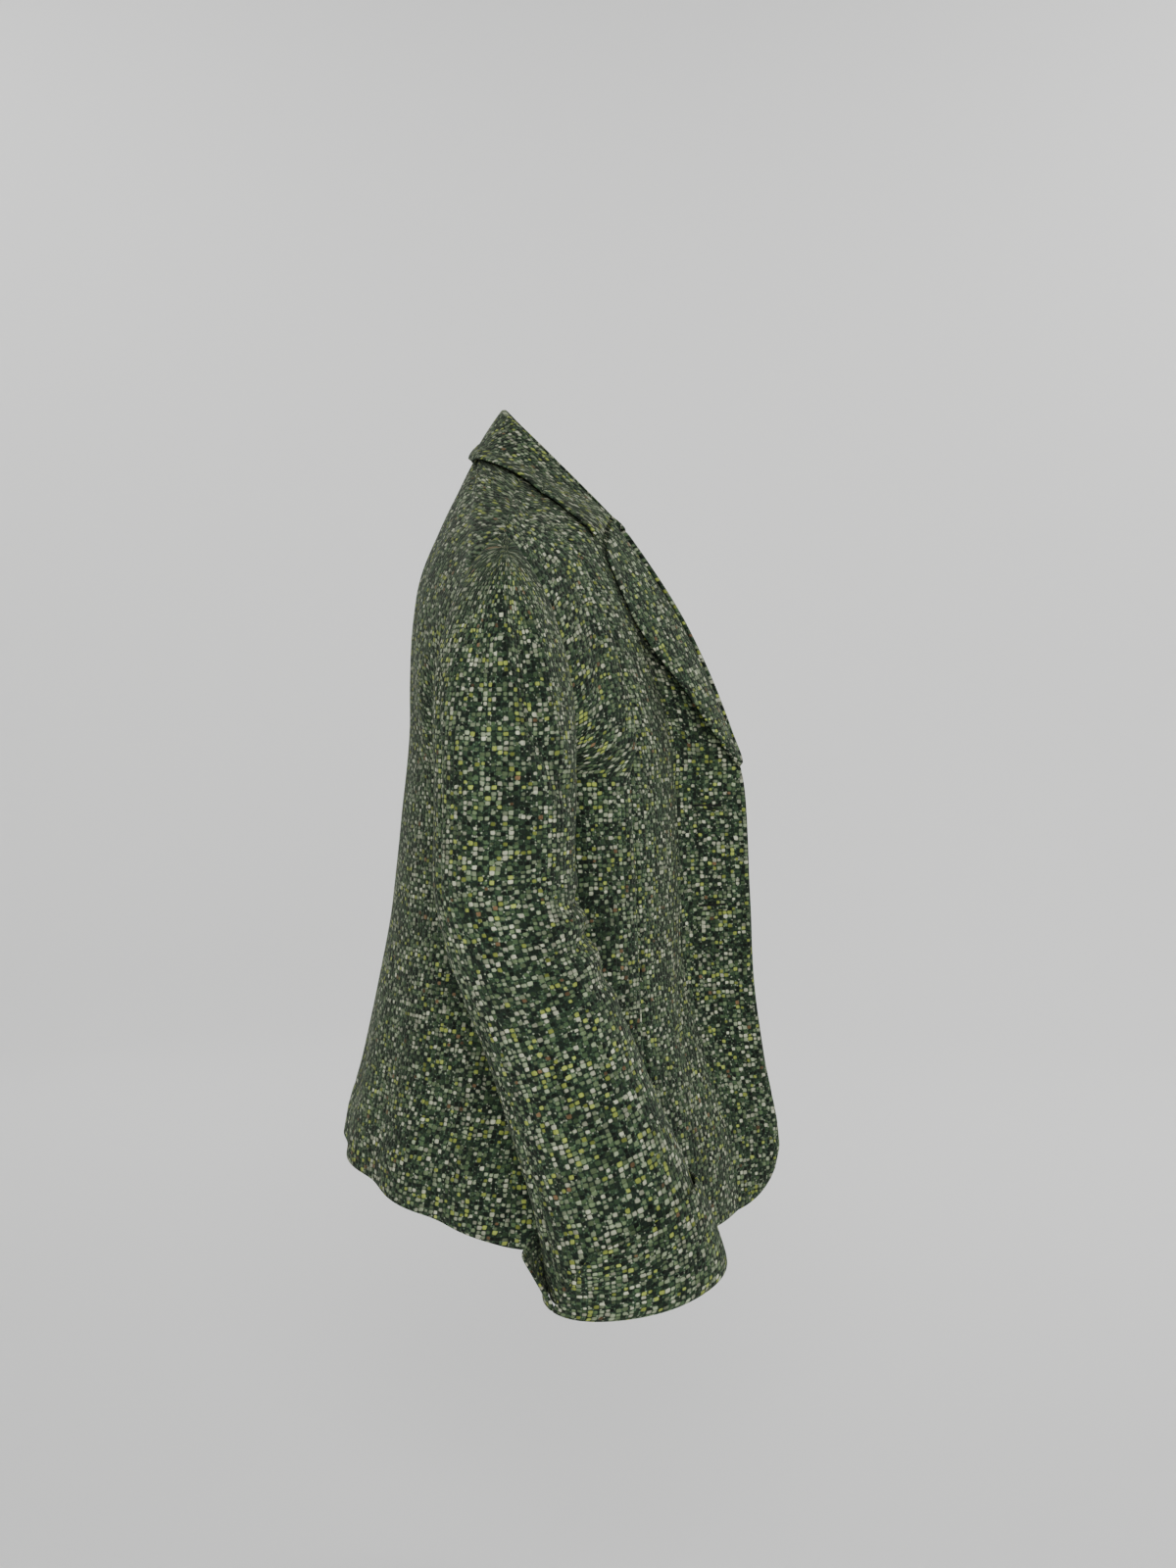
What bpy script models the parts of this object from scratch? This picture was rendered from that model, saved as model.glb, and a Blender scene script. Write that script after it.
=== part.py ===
"""A short, swing-back tweed hacking jacket, hollow and open, as it hangs when it is worn unfastened.

+Z is up, the wearer faces -Y, and the wearer's right side is -X. The origin is at the middle of
the neck, level with the two points where the shoulder seams meet the collar.
"""
import math

import bpy
import numpy as np

# Driving dimensions, in millimetres.
MM = 0.001
WALL = 2.0
SEAM_GAP = 0.3
LIFT = 1.2
NOSE_WIDTH = 34.0
NOSE_POWER = 1.4
SLOPE_POWER = 1.25
ARM_TURN = math.radians(8)
HEM_CORNER = 46.0
HEM_START = 10.1
STAND_INSET = 0.8
FOLD_RISE = 0.4
COLLAR_BELLY = 1.0
COLLAR_CLEAR = 4.0
LAPEL_FOLD = 1.6
LAPEL_BELLY = 2.5
LAPEL_CLEAR = 3.0
SIDES = {"right": -1, "left": 1}

# Each row is one level of the cloth, from the shoulder seam (0) to the underarm (7) and the hem
# (12). c is its point at the centre and e its point at the armhole or side seam, with x measured
# outward from the middle. round is the fullness of the curve between them (1 is straight), and cut
# is how much of its quarter turn it runs through, less where the armhole ends it early. nose is
# how far the front edge stands forward, and seam is the princess seam's place along the level.
FRONT = {
    "cx": (67, 63, 56, 46, 34, 24, 14, 6, 5, 5, 5, 6, 6),
    "cy": (-8, -28, -49, -69, -112, -138, -160, -174, -179, -182, -190, -201, -204),
    "cz": (0, -11, -24, -36, -97, -146, -200, -245, -336, -400, -460, -515, -575),
    "ex": (194, 192, 188, 182, 173, 164, 159, 158, 160, 166, 174, 184, 192),
    "ey": (-17, -28, -39, -49, -57, -60, -46, -14, -20, -22, -22, -20, -18),
    "ez": (-57, -69, -87, -110, -145, -182, -210, -226, -336, -400, -460, -515, -575),
    "cut": (1.0, 0.95, 0.85, 0.75, 0.70, 0.74, 0.85, 1, 1, 1, 1, 1, 1),
    "round": (1.0, 1.1, 1.25, 1.4, 1.7, 2.0, 2.2, 2.3, 2.4, 2.3, 2.1, 1.95, 1.9),
    "nose": (0, 0, 0, 6, 22, 30, 40, 50, 52, 49, 42, 34, 28),
    "bulge": (0, 2, 4, 6, 5, 0, 0, 0, 0, 0, 0, 0, 0),
    "seam": (0.5, 0.52, 0.54, 0.56, 0.59, 0.61, 0.61, 0.60, 0.60, 0.60, 0.60, 0.60, 0.60),
}
BACK = {
    "cx": (67, 54, 30, 0, 0, 0, 0, 0, 0, 0, 0, 0, 0),
    "cy": (-8, 17, 33, 38, 59, 78, 87, 95, 108, 120, 133, 148, 157),
    "cz": (0, 13, 23, 27, -22, -68, -140, -222, -336, -400, -460, -515, -575),
    "ex": (194, 193, 191, 187, 181, 173, 164, 158, 160, 166, 174, 184, 192),
    "ey": (-17, -6, 5, 16, 26, 31, 26, -14, -20, -22, -22, -20, -18),
    "ez": (-57, -64, -76, -93, -118, -150, -190, -226, -336, -400, -460, -515, -575),
    "cut": (1.0, 0.95, 0.85, 0.78, 0.72, 0.73, 0.78, 1, 1, 1, 1, 1, 1),
    "round": (1.0, 1.1, 1.3, 1.5, 1.7, 1.85, 1.9, 1.9, 1.9, 1.9, 1.9, 1.9, 1.9),
    "nose": (0,) * 13,
    "bulge": (0, -2, -3, -2, 6, 4, 2, 0, 0, 0, 0, 0, 0),
}
HEM_Z = {"front": -570.0, "side": -556.0, "back": -521.0}

# Folds that hang in the skirt of the back: place along the level, half-width there and depth.
FLUTES = ((0.22, 0.07, 6.0), (0.50, 0.08, 8.0), (0.78, 0.07, 7.0))
FLUTE_TOP = 8.3

# Collar, from the centre back (0) to its front end (1): the seam to the neck, the fold at the
# top of the stand, and the outer edge of the fall.
COLLAR = {
    "q": (-0.22, 0, 0.22, 0.42, 0.58, 0.72, 0.86, 1.0),
    "sx": (-30, 0, 30, 54, 67, 63, 56, 46),
    "sy": (33, 38, 33, 17, -8, -28, -49, -69),
    "sz": (23, 27, 23, 13, 0, -11, -24, -36),
    "rx": (-26, 0, 26, 43, 52, 54, 51, 45.5),
    "ry": (13, 19, 13, -1, -18, -36, -53.5, -69.5),
    "rz": (50, 57, 50, 36, 19, 1, -17, -34.5),
    "fx": (-44, 0, 44, 78, 97, 100, 98, 92),
    "fy": (36, 44, 36, 19, -8, -26, -44, -62),
    "fz": (11, 17, 11, 3, -19, -37, -51, -61),
}

STAND_END = 0.93

# Lapel, from the gorge (level 3) to the break of the roll line: level and outer edge.
LAPEL = {
    "t": (3.05, 3.5, 4.0, 4.6, 5.2, 5.9, 6.6),
    "x": (88, 88, 84, 73, 60, 38, 10),
    "y": (-69, -80, -92, -110, -130, -154, -170),
    "z": (-69, -90, -110, -139, -166, -204, -229),
}

# Sleeve rings down the arm: centre, half depth, half width and forward tilt in degrees.
SLEEVE = {
    "x": (212, 216, 220, 224, 229, 232, 238),
    "y": (-21, -21, -32, -54, -76, -95, -112),
    "z": (-238, -290, -340, -392, -446, -497, -551),
    "deep": (48.5, 48.5, 48, 48, 50, 53, 57.5),
    "wide": (47, 46, 45, 45, 46, 47.5, 45.5),
    "tilt": (0, 2, 10, 19, 21, 20, 10),
    "drop": (0, 0, 0, 0, 0, 2, 6),
}
# The armhole rows at which its two seams start.
SLEEVE_SEAMS = {"front": 5.1, "back": 3.7}
SLEEVE_ROWS = (0, 0.2, 0.45, 0.72, 1, 1.6, 2.2, 2.8, 3.4, 4, 4.7, 5.4, 6, 6.5, 7)

# Cuff rings from the fold at the bottom to the turned-back edge, and the two edges of its split.
CUFF = {
    "x": (238.5, 238.5, 236, 233.7),
    "y": (-113, -113, -107, -100.5),
    "z": (-557.5, -554, -534, -514),
    "deep": (59, 62, 61, 58.5),
    "wide": (47, 50, 51, 51.5),
    "tilt": (10, 10, 16, 23),
    "drop": (7, 7, 5, 3),
    "near": (-0.1738, -0.1735, -0.11, -0.05),
    "under": (0.8252, 0.825, 0.80, 0.772),
    "near_flare": (0, 0, 2, 5),
    "under_flare": (0, 0, 4, 11),
}
FLARE_REACH = 0.1

HOLES = {"upper": -259.0, "lower": -337.0}
HOLE_FROM_EDGE = 20.0
HOLE_LENGTH = 26.0
LIP = {"height": 3.0, "slit": 1.2, "thick": 1.0}
BUTTON = {"radius": 11.0, "thick": 3.2, "rim": 1.6, "well": 0.8, "standoff": 0.8}

# Mesh density: facets along each piece.
ARMHOLE_ROWS = (0, 0.7, 1.4, 2.2, 3, 3.7, 4.4, 5.1, 5.8, 6.4, 7)
ROWS = ARMHOLE_ROWS + (7.5, 8, 8.7, 9.4, 10.1, 10.8, 11.3)
UNDERARM = 7
HEM_ROWS = 3
COLS = {"front": 8, "side_front": 6, "back": 12}
ARC_SAMPLES = 65


def spline(knots, values, at):
    """A smooth curve through the values at the knots."""
    knots = np.asarray(knots, float)
    values = np.asarray(values, float)
    at = np.clip(at, knots[0], knots[-1])
    slope = np.gradient(values, knots)
    rise = np.diff(values)
    slope[1:-1][rise[1:] * rise[:-1] <= 0] = 0
    i = np.clip(np.searchsorted(knots, at, side="right") - 1, 0, len(knots) - 2)
    step = knots[i + 1] - knots[i]
    s = (at - knots[i]) / step
    start = (1 + 2 * s) * (1 - s) ** 2 * values[i] + s * (1 - s) ** 2 * step * slope[i]
    end = s**2 * (3 - 2 * s) * values[i + 1] + s**2 * (s - 1) * step * slope[i + 1]
    return start + end


def read(table, at):
    """Every column of a table at the places given, by name."""
    keys = [key for key in table if key not in ("q", "t")]
    knots = table.get("q") or table.get("t") or range(len(table[keys[0]]))
    row = {key: spline(knots, table[key], at) for key in keys}
    if "ex" in table:
        # The armhole ends at the underarm, where the side seam starts in a new direction.
        for key in ("ex", "ey", "ez", "cut"):
            above = spline(range(UNDERARM + 1), table[key][: UNDERARM + 1], at)
            below = spline(range(UNDERARM, len(table[key])), table[key][UNDERARM:], at)
            row[key] = np.where(np.asarray(at) < UNDERARM, above, below)
    return row


def unit(v):
    return v / np.maximum(np.linalg.norm(v, axis=-1, keepdims=True), 1e-9)


def level_point(table, u, t):
    """The point at the fraction u along level t, measured by length from the centre."""
    u, t = np.broadcast_arrays(np.asarray(u, float), np.asarray(t, float))
    row = {key: value[..., None] for key, value in read(table, t).items()}
    power = 2 / row["round"]
    last = row["cut"] * math.pi / 2
    angle = last * np.linspace(0, 1, ARC_SAMPLES)
    across = np.sin(angle) ** power / np.sin(last) ** power
    end = np.cos(np.minimum(last, math.pi / 2)) ** power
    along = (np.maximum(np.cos(angle), 0) ** power - end) / (1 - end)
    x = row["cx"] + (row["ex"] - row["cx"]) * across
    inset = np.clip(1 - (x - row["cx"]) / NOSE_WIDTH, 0, 1) ** NOSE_POWER
    y = row["ey"] + (row["cy"] + row["nose"] - row["ey"]) * along - row["nose"] * inset
    side = np.sign(row["cy"] - row["ey"])
    y = y + side * row["bulge"] * np.sin(math.pi * across)
    z = row["cz"] + (row["ez"] - row["cz"]) * across**SLOPE_POWER
    points = np.stack([x, y, z], axis=-1)
    length = np.linalg.norm(np.diff(points, axis=-2), axis=-1).cumsum(axis=-1)
    length = np.concatenate([np.zeros(length.shape[:-1] + (1,)), length], axis=-1)
    goal = u * length[..., -1]
    i = np.clip((length < goal[..., None]).sum(axis=-1) - 1, 0, ARC_SAMPLES - 2)[..., None]
    before = np.take_along_axis(length, i, -1)[..., 0]
    after = np.take_along_axis(length, i + 1, -1)[..., 0]
    part = ((goal - before) / np.maximum(after - before, 1e-9))[..., None]
    low = np.take_along_axis(points, i[..., None], -2)[..., 0, :]
    high = np.take_along_axis(points, i[..., None] + 1, -2)[..., 0, :]
    return low + (high - low) * part


def level_length(table, t):
    u = np.linspace(0, 1, ARC_SAMPLES)
    return np.linalg.norm(np.diff(level_point(table, u, t), axis=0), axis=-1).sum()


def body_point(table, u, t):
    """level_point with the folds of the back's skirt."""
    p = level_point(table, u, t)
    if table is BACK:
        grow = np.clip((t - FLUTE_TOP) / (len(BACK["cx"]) - 1 - FLUTE_TOP), 0, 1) ** 1.3
        fold = sum(depth * np.exp(-(((u - at) / width) ** 2)) for at, width, depth in FLUTES)
        middle = np.array([0.0, BACK["ey"][-1], 0.0])
        spoke = unit((p - middle) * (1, 1, 0))
        p = p - spoke * (fold * grow)[..., None]
    return p


def hem_level(table, u):
    """The level at which the hem runs, at the fraction u along it."""
    if table is FRONT:
        z = HEM_Z["front"] + (HEM_Z["side"] - HEM_Z["front"]) * u**2
        reach = np.clip(1 - u * level_length(FRONT, 11.5) / HEM_CORNER, 0, 1)
        z = z + HEM_CORNER * (1 - np.sqrt(1 - reach**2 * 0.98))
    else:
        z = HEM_Z["back"] + (HEM_Z["side"] - HEM_Z["back"]) * u**1.5
    t = np.linspace(7, 12, 200)
    return np.interp(-z, -read(table, t)["ez"], t)


def body_grid(table, u, rows, hem_rows):
    """Points over a panel: u has one value for each row and column, or one for each column."""
    u = np.broadcast_to(u, (len(rows) + hem_rows, np.shape(u)[-1]))
    last = rows[-1]
    t = np.empty(u.shape)
    t[: len(rows)] = np.asarray(rows)[:, None]
    hem = hem_level(table, u[-1])
    for k in range(hem_rows):
        t[len(rows) + k] = last + (hem - last) * (k + 1) / hem_rows
    # The rows above the hem's own give way where its corner rises past them.
    squeeze = np.minimum((hem - HEM_START) / (12 - HEM_START) + 0.12, 1)
    low = (t > HEM_START) & (t > hem - 0.05)
    t = np.where(low, np.minimum(t, HEM_START + (t - HEM_START) * squeeze), t)
    for k in range(len(t) - 2, 0, -1):
        t[k] = np.minimum(t[k], t[k + 1] - 0.1)
    t[-1] = hem
    return u, t, body_point(table, u, t)


def body_normal(table, u, t):
    """Unit normal pointing out of the body."""
    step = 1e-3
    du = body_point(table, np.clip(u + step, 0, 1), t) - body_point(table, np.clip(u - step, 0, 1), t)
    top, bottom = np.clip(t - step, 0, 12), np.clip(t + step, 0, 12)
    dt = body_point(table, u, bottom) - body_point(table, u, top)
    normal = unit(np.cross(du, dt))
    return -normal if table is FRONT else normal


def princess(rows):
    return spline(range(13), FRONT["seam"], rows)


def pull_in(grid, edges, gap=SEAM_GAP / 2):
    """Draws the named edges of a grid of points back from the seam."""
    grid = grid.copy()
    for edge in edges:
        first, second = {"top": (0, 1), "bottom": (-1, -2)}.get(edge, (None, None))
        if first is not None:
            grid[first] += unit(grid[second] - grid[first]) * gap
        else:
            first, second = {"left": (0, 1), "right": (-1, -2)}[edge]
            grid[:, first] += unit(grid[:, second] - grid[:, first]) * gap
    return grid


def material(name, colour, roughness):
    mat = bpy.data.materials.get(name)
    if mat is None:
        mat = bpy.data.materials.new(name)
        mat.use_nodes = True
        shader = mat.node_tree.nodes["Principled BSDF"]
        shader.inputs["Base Color"].default_value = (*colour, 1.0)
        shader.inputs["Roughness"].default_value = roughness
        shader.inputs["Metallic"].default_value = 0.0
    return mat


def add_solid(name, points, faces, mat):
    mesh = bpy.data.meshes.new(name)
    mesh.from_pydata((np.asarray(points) * MM).tolist(), [], faces)
    mesh.materials.append(mat)
    mesh.shade_smooth()
    mesh.set_sharp_from_angle(angle=math.radians(40))
    obj = bpy.data.objects.new(name, mesh)
    bpy.context.scene.collection.objects.link(obj)
    return obj


def wall_faces(rows, cols):
    """Triangles of a closed wall between an outer and an inner grid of rows x cols points."""
    back = rows * cols
    faces = []
    for r in range(rows - 1):
        for c in range(cols - 1):
            a, b, d, e = r * cols + c, r * cols + c + 1, (r + 1) * cols + c, (r + 1) * cols + c + 1
            faces += [(a, d, e), (a, e, b), (back + a, back + e, back + d), (back + a, back + b, back + e)]
    rim = list(range(cols))
    rim += [r * cols + cols - 1 for r in range(1, rows)]
    rim += [(rows - 1) * cols + c for c in range(cols - 2, -1, -1)]
    rim += [r * cols for r in range(rows - 2, 0, -1)]
    for a, b in zip(rim, rim[1:] + rim[:1]):
        faces += [(a, b, back + b), (a, back + b, back + a)]
    return faces


def cloth(name, outer, normal, mat, thick=WALL):
    """A closed wall of cloth with its outside on the grid outer and the given thickness inside it."""
    rows, cols = outer.shape[:2]
    inner = outer - normal * thick
    points = np.concatenate([outer.reshape(-1, 3), inner.reshape(-1, 3)])
    faces = wall_faces(rows, cols)
    corners = points[np.array(faces)]
    turned = np.einsum("ij,ij->i", corners[:, 0], np.cross(corners[:, 1], corners[:, 2])).sum() < 0
    if turned:
        faces = [face[::-1] for face in faces]
    return add_solid(name, points, faces, mat)


def handed(points, side):
    return points * (SIDES[side], 1, 1)


def mitre(one, other):
    """A shared normal along a seam, where the two pieces face nearly the same way."""
    shared = unit(one + other)
    same = np.einsum("...i,...i->...", one, other)[..., None]
    return np.where(same > 0, shared, one)


def edge_normal(table, own, other):
    """Normals down a panel's outer edge: shared with the sleeve, then with the other panel."""
    armhole = np.array(ARMHOLE_ROWS[:-1], float)
    count = len(armhole)
    w = armhole_fraction(table, armhole)
    sleeve = grid_normal(sleeve_point, w, np.zeros(w.shape))
    return np.concatenate([mitre(own[:count], sleeve), mitre(own[count:], other[count:])])


def make_fronts(tweed):
    rows = np.array(ROWS)
    seam = np.append(princess(rows), [princess(np.array([12.0]))[0]] * HEM_ROWS)
    centre_u = seam[:, None] * np.linspace(0, 1, COLS["front"]) ** 1.15
    side_u = seam[:, None] + (1 - seam[:, None]) * np.linspace(0, 1, COLS["side_front"])
    back_u, back_t, _ = body_grid(BACK, np.array([1.0]), rows, HEM_ROWS)
    back_edge = body_normal(BACK, back_u[:, 0], back_t[:, 0])
    for piece, u, edges in (
        ("front", centre_u, ("top", "right")),
        ("side_front", side_u, ("top", "left", "right")),
    ):
        u, t, grid = body_grid(FRONT, u, rows, HEM_ROWS)
        normal = body_normal(FRONT, u, t)
        normal[0] = mitre(normal[0], body_normal(BACK, u[0], t[0]))
        if piece == "side_front":
            normal[:, -1] = edge_normal(FRONT, normal[:, -1], back_edge)
        grid = pull_in(grid, edges)
        for side in SIDES:
            cloth(f"{piece}_{side}", handed(grid, side), handed(normal, side), tweed)


def make_backs(tweed):
    rows = np.array(ROWS)
    u, t, grid = body_grid(BACK, np.linspace(0, 1, COLS["back"]), rows, HEM_ROWS)
    normal = body_normal(BACK, u, t)
    normal[0] = mitre(normal[0], body_normal(FRONT, u[0], t[0]))
    front_u, front_t, _ = body_grid(FRONT, np.array([1.0]), rows, HEM_ROWS)
    normal[:, -1] = edge_normal(BACK, normal[:, -1], body_normal(FRONT, front_u[:, 0], front_t[:, 0]))
    on_centre = t[:, 0] > 3 - 1e-6
    normal[on_centre, 0] = unit(normal[on_centre, 0] * (0, 1, 1))
    grid = pull_in(grid, ("top", "left", "right"))
    for side in SIDES:
        cloth(f"back_{side}", handed(grid, side), handed(normal, side), tweed)


def arm_axes(tilt):
    """Directions out from the body and to the front, across an arm tilted forward."""
    tilt = np.radians(tilt)[..., None]
    front = np.array([-math.sin(ARM_TURN), -math.cos(ARM_TURN), 0.0])
    out = np.array([math.cos(ARM_TURN), -math.sin(ARM_TURN), 0.0])
    return np.broadcast_to(out, np.shape(tilt)[:-1] + (3,)), front * np.cos(tilt) + (0, 0, 1) * np.sin(tilt)


def ring_point(table, w, at):
    """A point of an arm's rings: w goes round it from the outside (0) by the front (0.25)."""
    row = read(table, at)
    out, front = arm_axes(row["tilt"])
    angle = 2 * math.pi * w
    centre = np.stack([row["x"], row["y"], row["z"] - row["drop"] * np.cos(angle)], axis=-1)
    reach = (row["wide"] * np.cos(angle))[..., None] * out
    return centre + reach + (row["deep"] * np.sin(angle))[..., None] * front


def armhole_point(w):
    """The armhole's edge: w goes from the shoulder (0) by the front and underarm (0.5) round."""
    w = np.mod(w, 1.0)
    t = np.linspace(0, 7, 120)
    found = []
    for table, part in ((FRONT, w * 2), (BACK, (1 - w) * 2)):
        edge = level_point(table, 1.0, t)
        length = np.append(0, np.linalg.norm(np.diff(edge, axis=0), axis=-1).cumsum())
        goal = np.clip(part, 0, 1) * length[-1]
        found.append(np.stack([np.interp(goal, length, edge[:, k]) for k in range(3)], axis=-1))
    return np.where((w <= 0.5)[..., None], found[0], found[1])


def armhole_fraction(table, t):
    """How far round the armhole, as w, its edge is at level t."""
    levels = np.linspace(0, UNDERARM, 120)
    edge = level_point(table, 1.0, levels)
    length = np.append(0, np.linalg.norm(np.diff(edge, axis=0), axis=-1).cumsum())
    half = np.interp(t, levels, length / length[-1]) / 2
    return half if table is FRONT else 1 - half


def sleeve_point(w, s):
    """The sleeve: s is 0 at the armhole, 1 at the first ring and 7 at the last."""
    w, s = np.broadcast_arrays(np.asarray(w, float), np.asarray(s, float))
    start = armhole_point(w)
    first = ring_point(SLEEVE, w, np.zeros(w.shape))
    out, front = arm_axes(np.zeros(w.shape))
    angle = (2 * math.pi * w)[..., None]
    leave = out * (0.6 + 0.25 * np.cos(angle)) + front * (0.25 * np.sin(angle))
    leave = unit(leave - np.array([0, 0, 1.0]) * (0.75 - 0.25 * np.cos(angle)))
    arrive = unit(ring_point(SLEEVE, w, np.full(w.shape, 0.05)) - first)
    span = np.linalg.norm(first - start, axis=-1, keepdims=True)
    k = np.clip(s, 0, 1)[..., None]
    cap = (1 + 2 * k) * (1 - k) ** 2 * start + k**2 * (3 - 2 * k) * first
    cap = cap + k * (1 - k) ** 2 * span * leave + k**2 * (k - 1) * span * arrive
    below = ring_point(SLEEVE, w, np.clip(s - 1, 0, 6))
    return np.where(s[..., None] < 1, cap, below)


def grid_normal(points, w, s, step=1e-3):
    """Unit normal of a surface given as a function of w and s, pointing out of the arm."""
    dw = points(w + step, s) - points(w - step, s)
    ds = points(w, s + step) - points(w, np.maximum(s - step, 0))
    return unit(np.cross(dw, ds))


def make_sleeves(tweed):
    levels = np.array(ARMHOLE_ROWS, float)
    front = armhole_fraction(FRONT, levels)
    back = armhole_fraction(BACK, levels)[::-1]
    seam_front = front[ARMHOLE_ROWS.index(SLEEVE_SEAMS["front"])]
    seam_back = back[::-1][ARMHOLE_ROWS.index(SLEEVE_SEAMS["back"])]
    upper = np.append(back[back >= seam_back][:-1] - 1, front[front <= seam_front])
    under = np.append(front[front >= seam_front], back[(back <= seam_back)][1:])
    for piece, w in (("sleeve_upper", upper), ("sleeve_under", under)):
        w, down = np.meshgrid(w, np.array(SLEEVE_ROWS))
        grid = sleeve_point(w, down)
        normal = grid_normal(sleeve_point, w, down)
        for table, half in ((FRONT, np.mod(w[0], 1) <= 0.5), (BACK, np.mod(w[0], 1) > 0.5)):
            known = armhole_fraction(table, levels)
            order = np.argsort(known)
            t = np.interp(np.mod(w[0], 1), known[order], levels[order])
            body = body_normal(table, np.ones(t.shape), t)
            normal[0] = np.where(half[:, None], mitre(normal[0], body), normal[0])
        grid = pull_in(grid, ("top", "left", "right"))
        for side in SIDES:
            cloth(f"{piece}_{side}", handed(grid, side), handed(normal, side), tweed)


def cuff_point(w, r):
    """The cuff's band: w goes from its near edge (0) to its under edge (1), r up from the fold."""
    w, r = np.broadcast_arrays(np.asarray(w, float), np.asarray(r, float))
    row = read(CUFF, r)
    turn = row["near"] + (row["under"] - row["near"]) * w
    p = ring_point(CUFF, turn, r)
    row_centre = np.stack([row["x"], row["y"], row["z"]], axis=-1)
    flare = row["near_flare"] * np.exp(-((w / FLARE_REACH) ** 2))
    flare = flare + row["under_flare"] * np.exp(-(((1 - w) / FLARE_REACH) ** 2))
    return p + unit(p - row_centre) * flare[..., None]


def make_cuffs(tweed):
    w, r = np.meshgrid(np.linspace(0, 1, 25), np.array([0, 1, 1.6, 2.3, 3.0]))
    grid = cuff_point(w, r)
    step = 1e-3
    dw = cuff_point(w + step, r) - cuff_point(w - step, r)
    dr = cuff_point(w, np.minimum(r + step, 3)) - cuff_point(w, np.maximum(r - step, 0))
    normal = unit(np.cross(dr, dw))
    for side in SIDES:
        cloth(f"cuff_{side}", handed(grid, side), handed(normal, side), tweed)


def collar_curves(q):
    """Seam, fold and outer edge of the collar, for q from -1 (right end) to 1 (left end)."""
    row = read(COLLAR, np.abs(q))
    sign = np.where(q < 0, -1.0, 1.0)
    return [np.stack([row[k + "x"] * sign, row[k + "y"], row[k + "z"]], axis=-1) for k in "srf"]


def strip_normal(grid, inside):
    """Normals of a grid, turned away from the point inside."""
    across = np.gradient(grid, axis=1)
    down = np.gradient(grid, axis=0)
    normal = unit(np.cross(across, down))
    away = np.einsum("...i,...i->...", normal, grid - inside)
    return normal * np.sign(away.mean())


def make_collar(tweed):
    neck = np.array([0, -20.0, -40.0])
    seam, fold, _ = collar_curves(np.linspace(-STAND_END, STAND_END, 23))
    rise = np.linspace(0, 1, 3)[:, None, None]
    stand = seam + (fold - seam) * rise
    out = strip_normal(stand, neck)
    stand = stand + unit(fold - seam) * STAND_INSET * (1 - 2 * rise)
    cloth("collar_stand", stand, out, tweed)
    q = np.linspace(-1, 1, 25)
    seam, fold, fall = collar_curves(q)
    inner, top, _ = collar_curves(np.clip(q, -STAND_END, STAND_END))
    up = unit(top - inner)
    away = strip_normal(np.stack([inner, top]), neck)[-1]
    turned = [fold + up * FOLD_RISE - away * 0.5, fold + up * FOLD_RISE / 2 + away * STAND_INSET]
    for r in (0.25, 0.5, 0.75, 1.0):
        belly = math.sin(math.pi * r) * COLLAR_BELLY + STAND_INSET * (1 - r)
        turned.append(fold + (fall - fold) * r + away * belly)
    under = clear_of_body(np.array(turned), COLLAR_CLEAR)
    out = strip_normal(under, neck)
    cloth("collar_fall", under + out * WALL, out, tweed)


BODY_SAMPLES = []


def body_samples():
    """Points and normals all over the upper fronts and back, and whether each is off the edge."""
    if not BODY_SAMPLES:
        u, t = np.meshgrid(np.linspace(0, 1, 41), np.linspace(0, 8, 121))
        points, normals, inner = [], [], []
        for table in (FRONT, BACK):
            p = body_point(table, u, t).reshape(-1, 3)
            n = body_normal(table, u, t).reshape(-1, 3)
            for side in SIDES:
                points.append(handed(p, side))
                normals.append(handed(n, side))
                inner.append(u.ravel() > 0)
        BODY_SAMPLES.extend(np.concatenate(found) for found in (points, normals, inner))
    return BODY_SAMPLES


def clear_of_body(grid, clearance, rows=slice(2, None), passes=3):
    """Lifts what lies on the body until it clears the cloth under it."""
    points, normals, inner = body_samples()
    grid = grid.copy()
    for index in list(np.ndindex(grid[rows].shape[:2])) * passes:
        p = grid[rows][index]
        nearest = np.argmin(((points - p) ** 2).sum(axis=1))
        height = np.dot(p - points[nearest], normals[nearest])
        if inner[nearest] and height < clearance:
            grid[rows][index] = p + normals[nearest] * (clearance - height)
    return grid


def make_lapels(tweed):
    t = np.linspace(LAPEL["t"][0], LAPEL["t"][-1], 13)
    edge = read(LAPEL, t)
    edge = np.stack([edge["x"], edge["y"], edge["z"]], axis=-1)
    roll = level_point(FRONT, 0.0, t)
    out = body_normal(FRONT, np.full(t.shape, 0.004), t)
    past = -unit(level_point(FRONT, 0.03, t) - roll)
    turned = [roll + past * 0.6, roll + past + out * LAPEL_FOLD]
    for r in (0.3, 0.55, 0.8, 1.0):
        belly = math.sin(math.pi * r) * LAPEL_BELLY + LAPEL_FOLD * (1 - r)
        turned.append(roll + (edge - roll) * r + out * belly)
    under = clear_of_body(np.array(turned), LAPEL_CLEAR)
    normal = strip_normal(under, np.array([40.0, 0, -150.0]))
    for side in SIDES:
        cloth(f"lapel_{side}", handed(under + normal * WALL, side), handed(normal, side), tweed)


def level_at(z):
    t = np.linspace(7, 12, 400)
    return np.interp(-z, -level_point(FRONT, 0.1, t)[:, 2], t)


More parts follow.
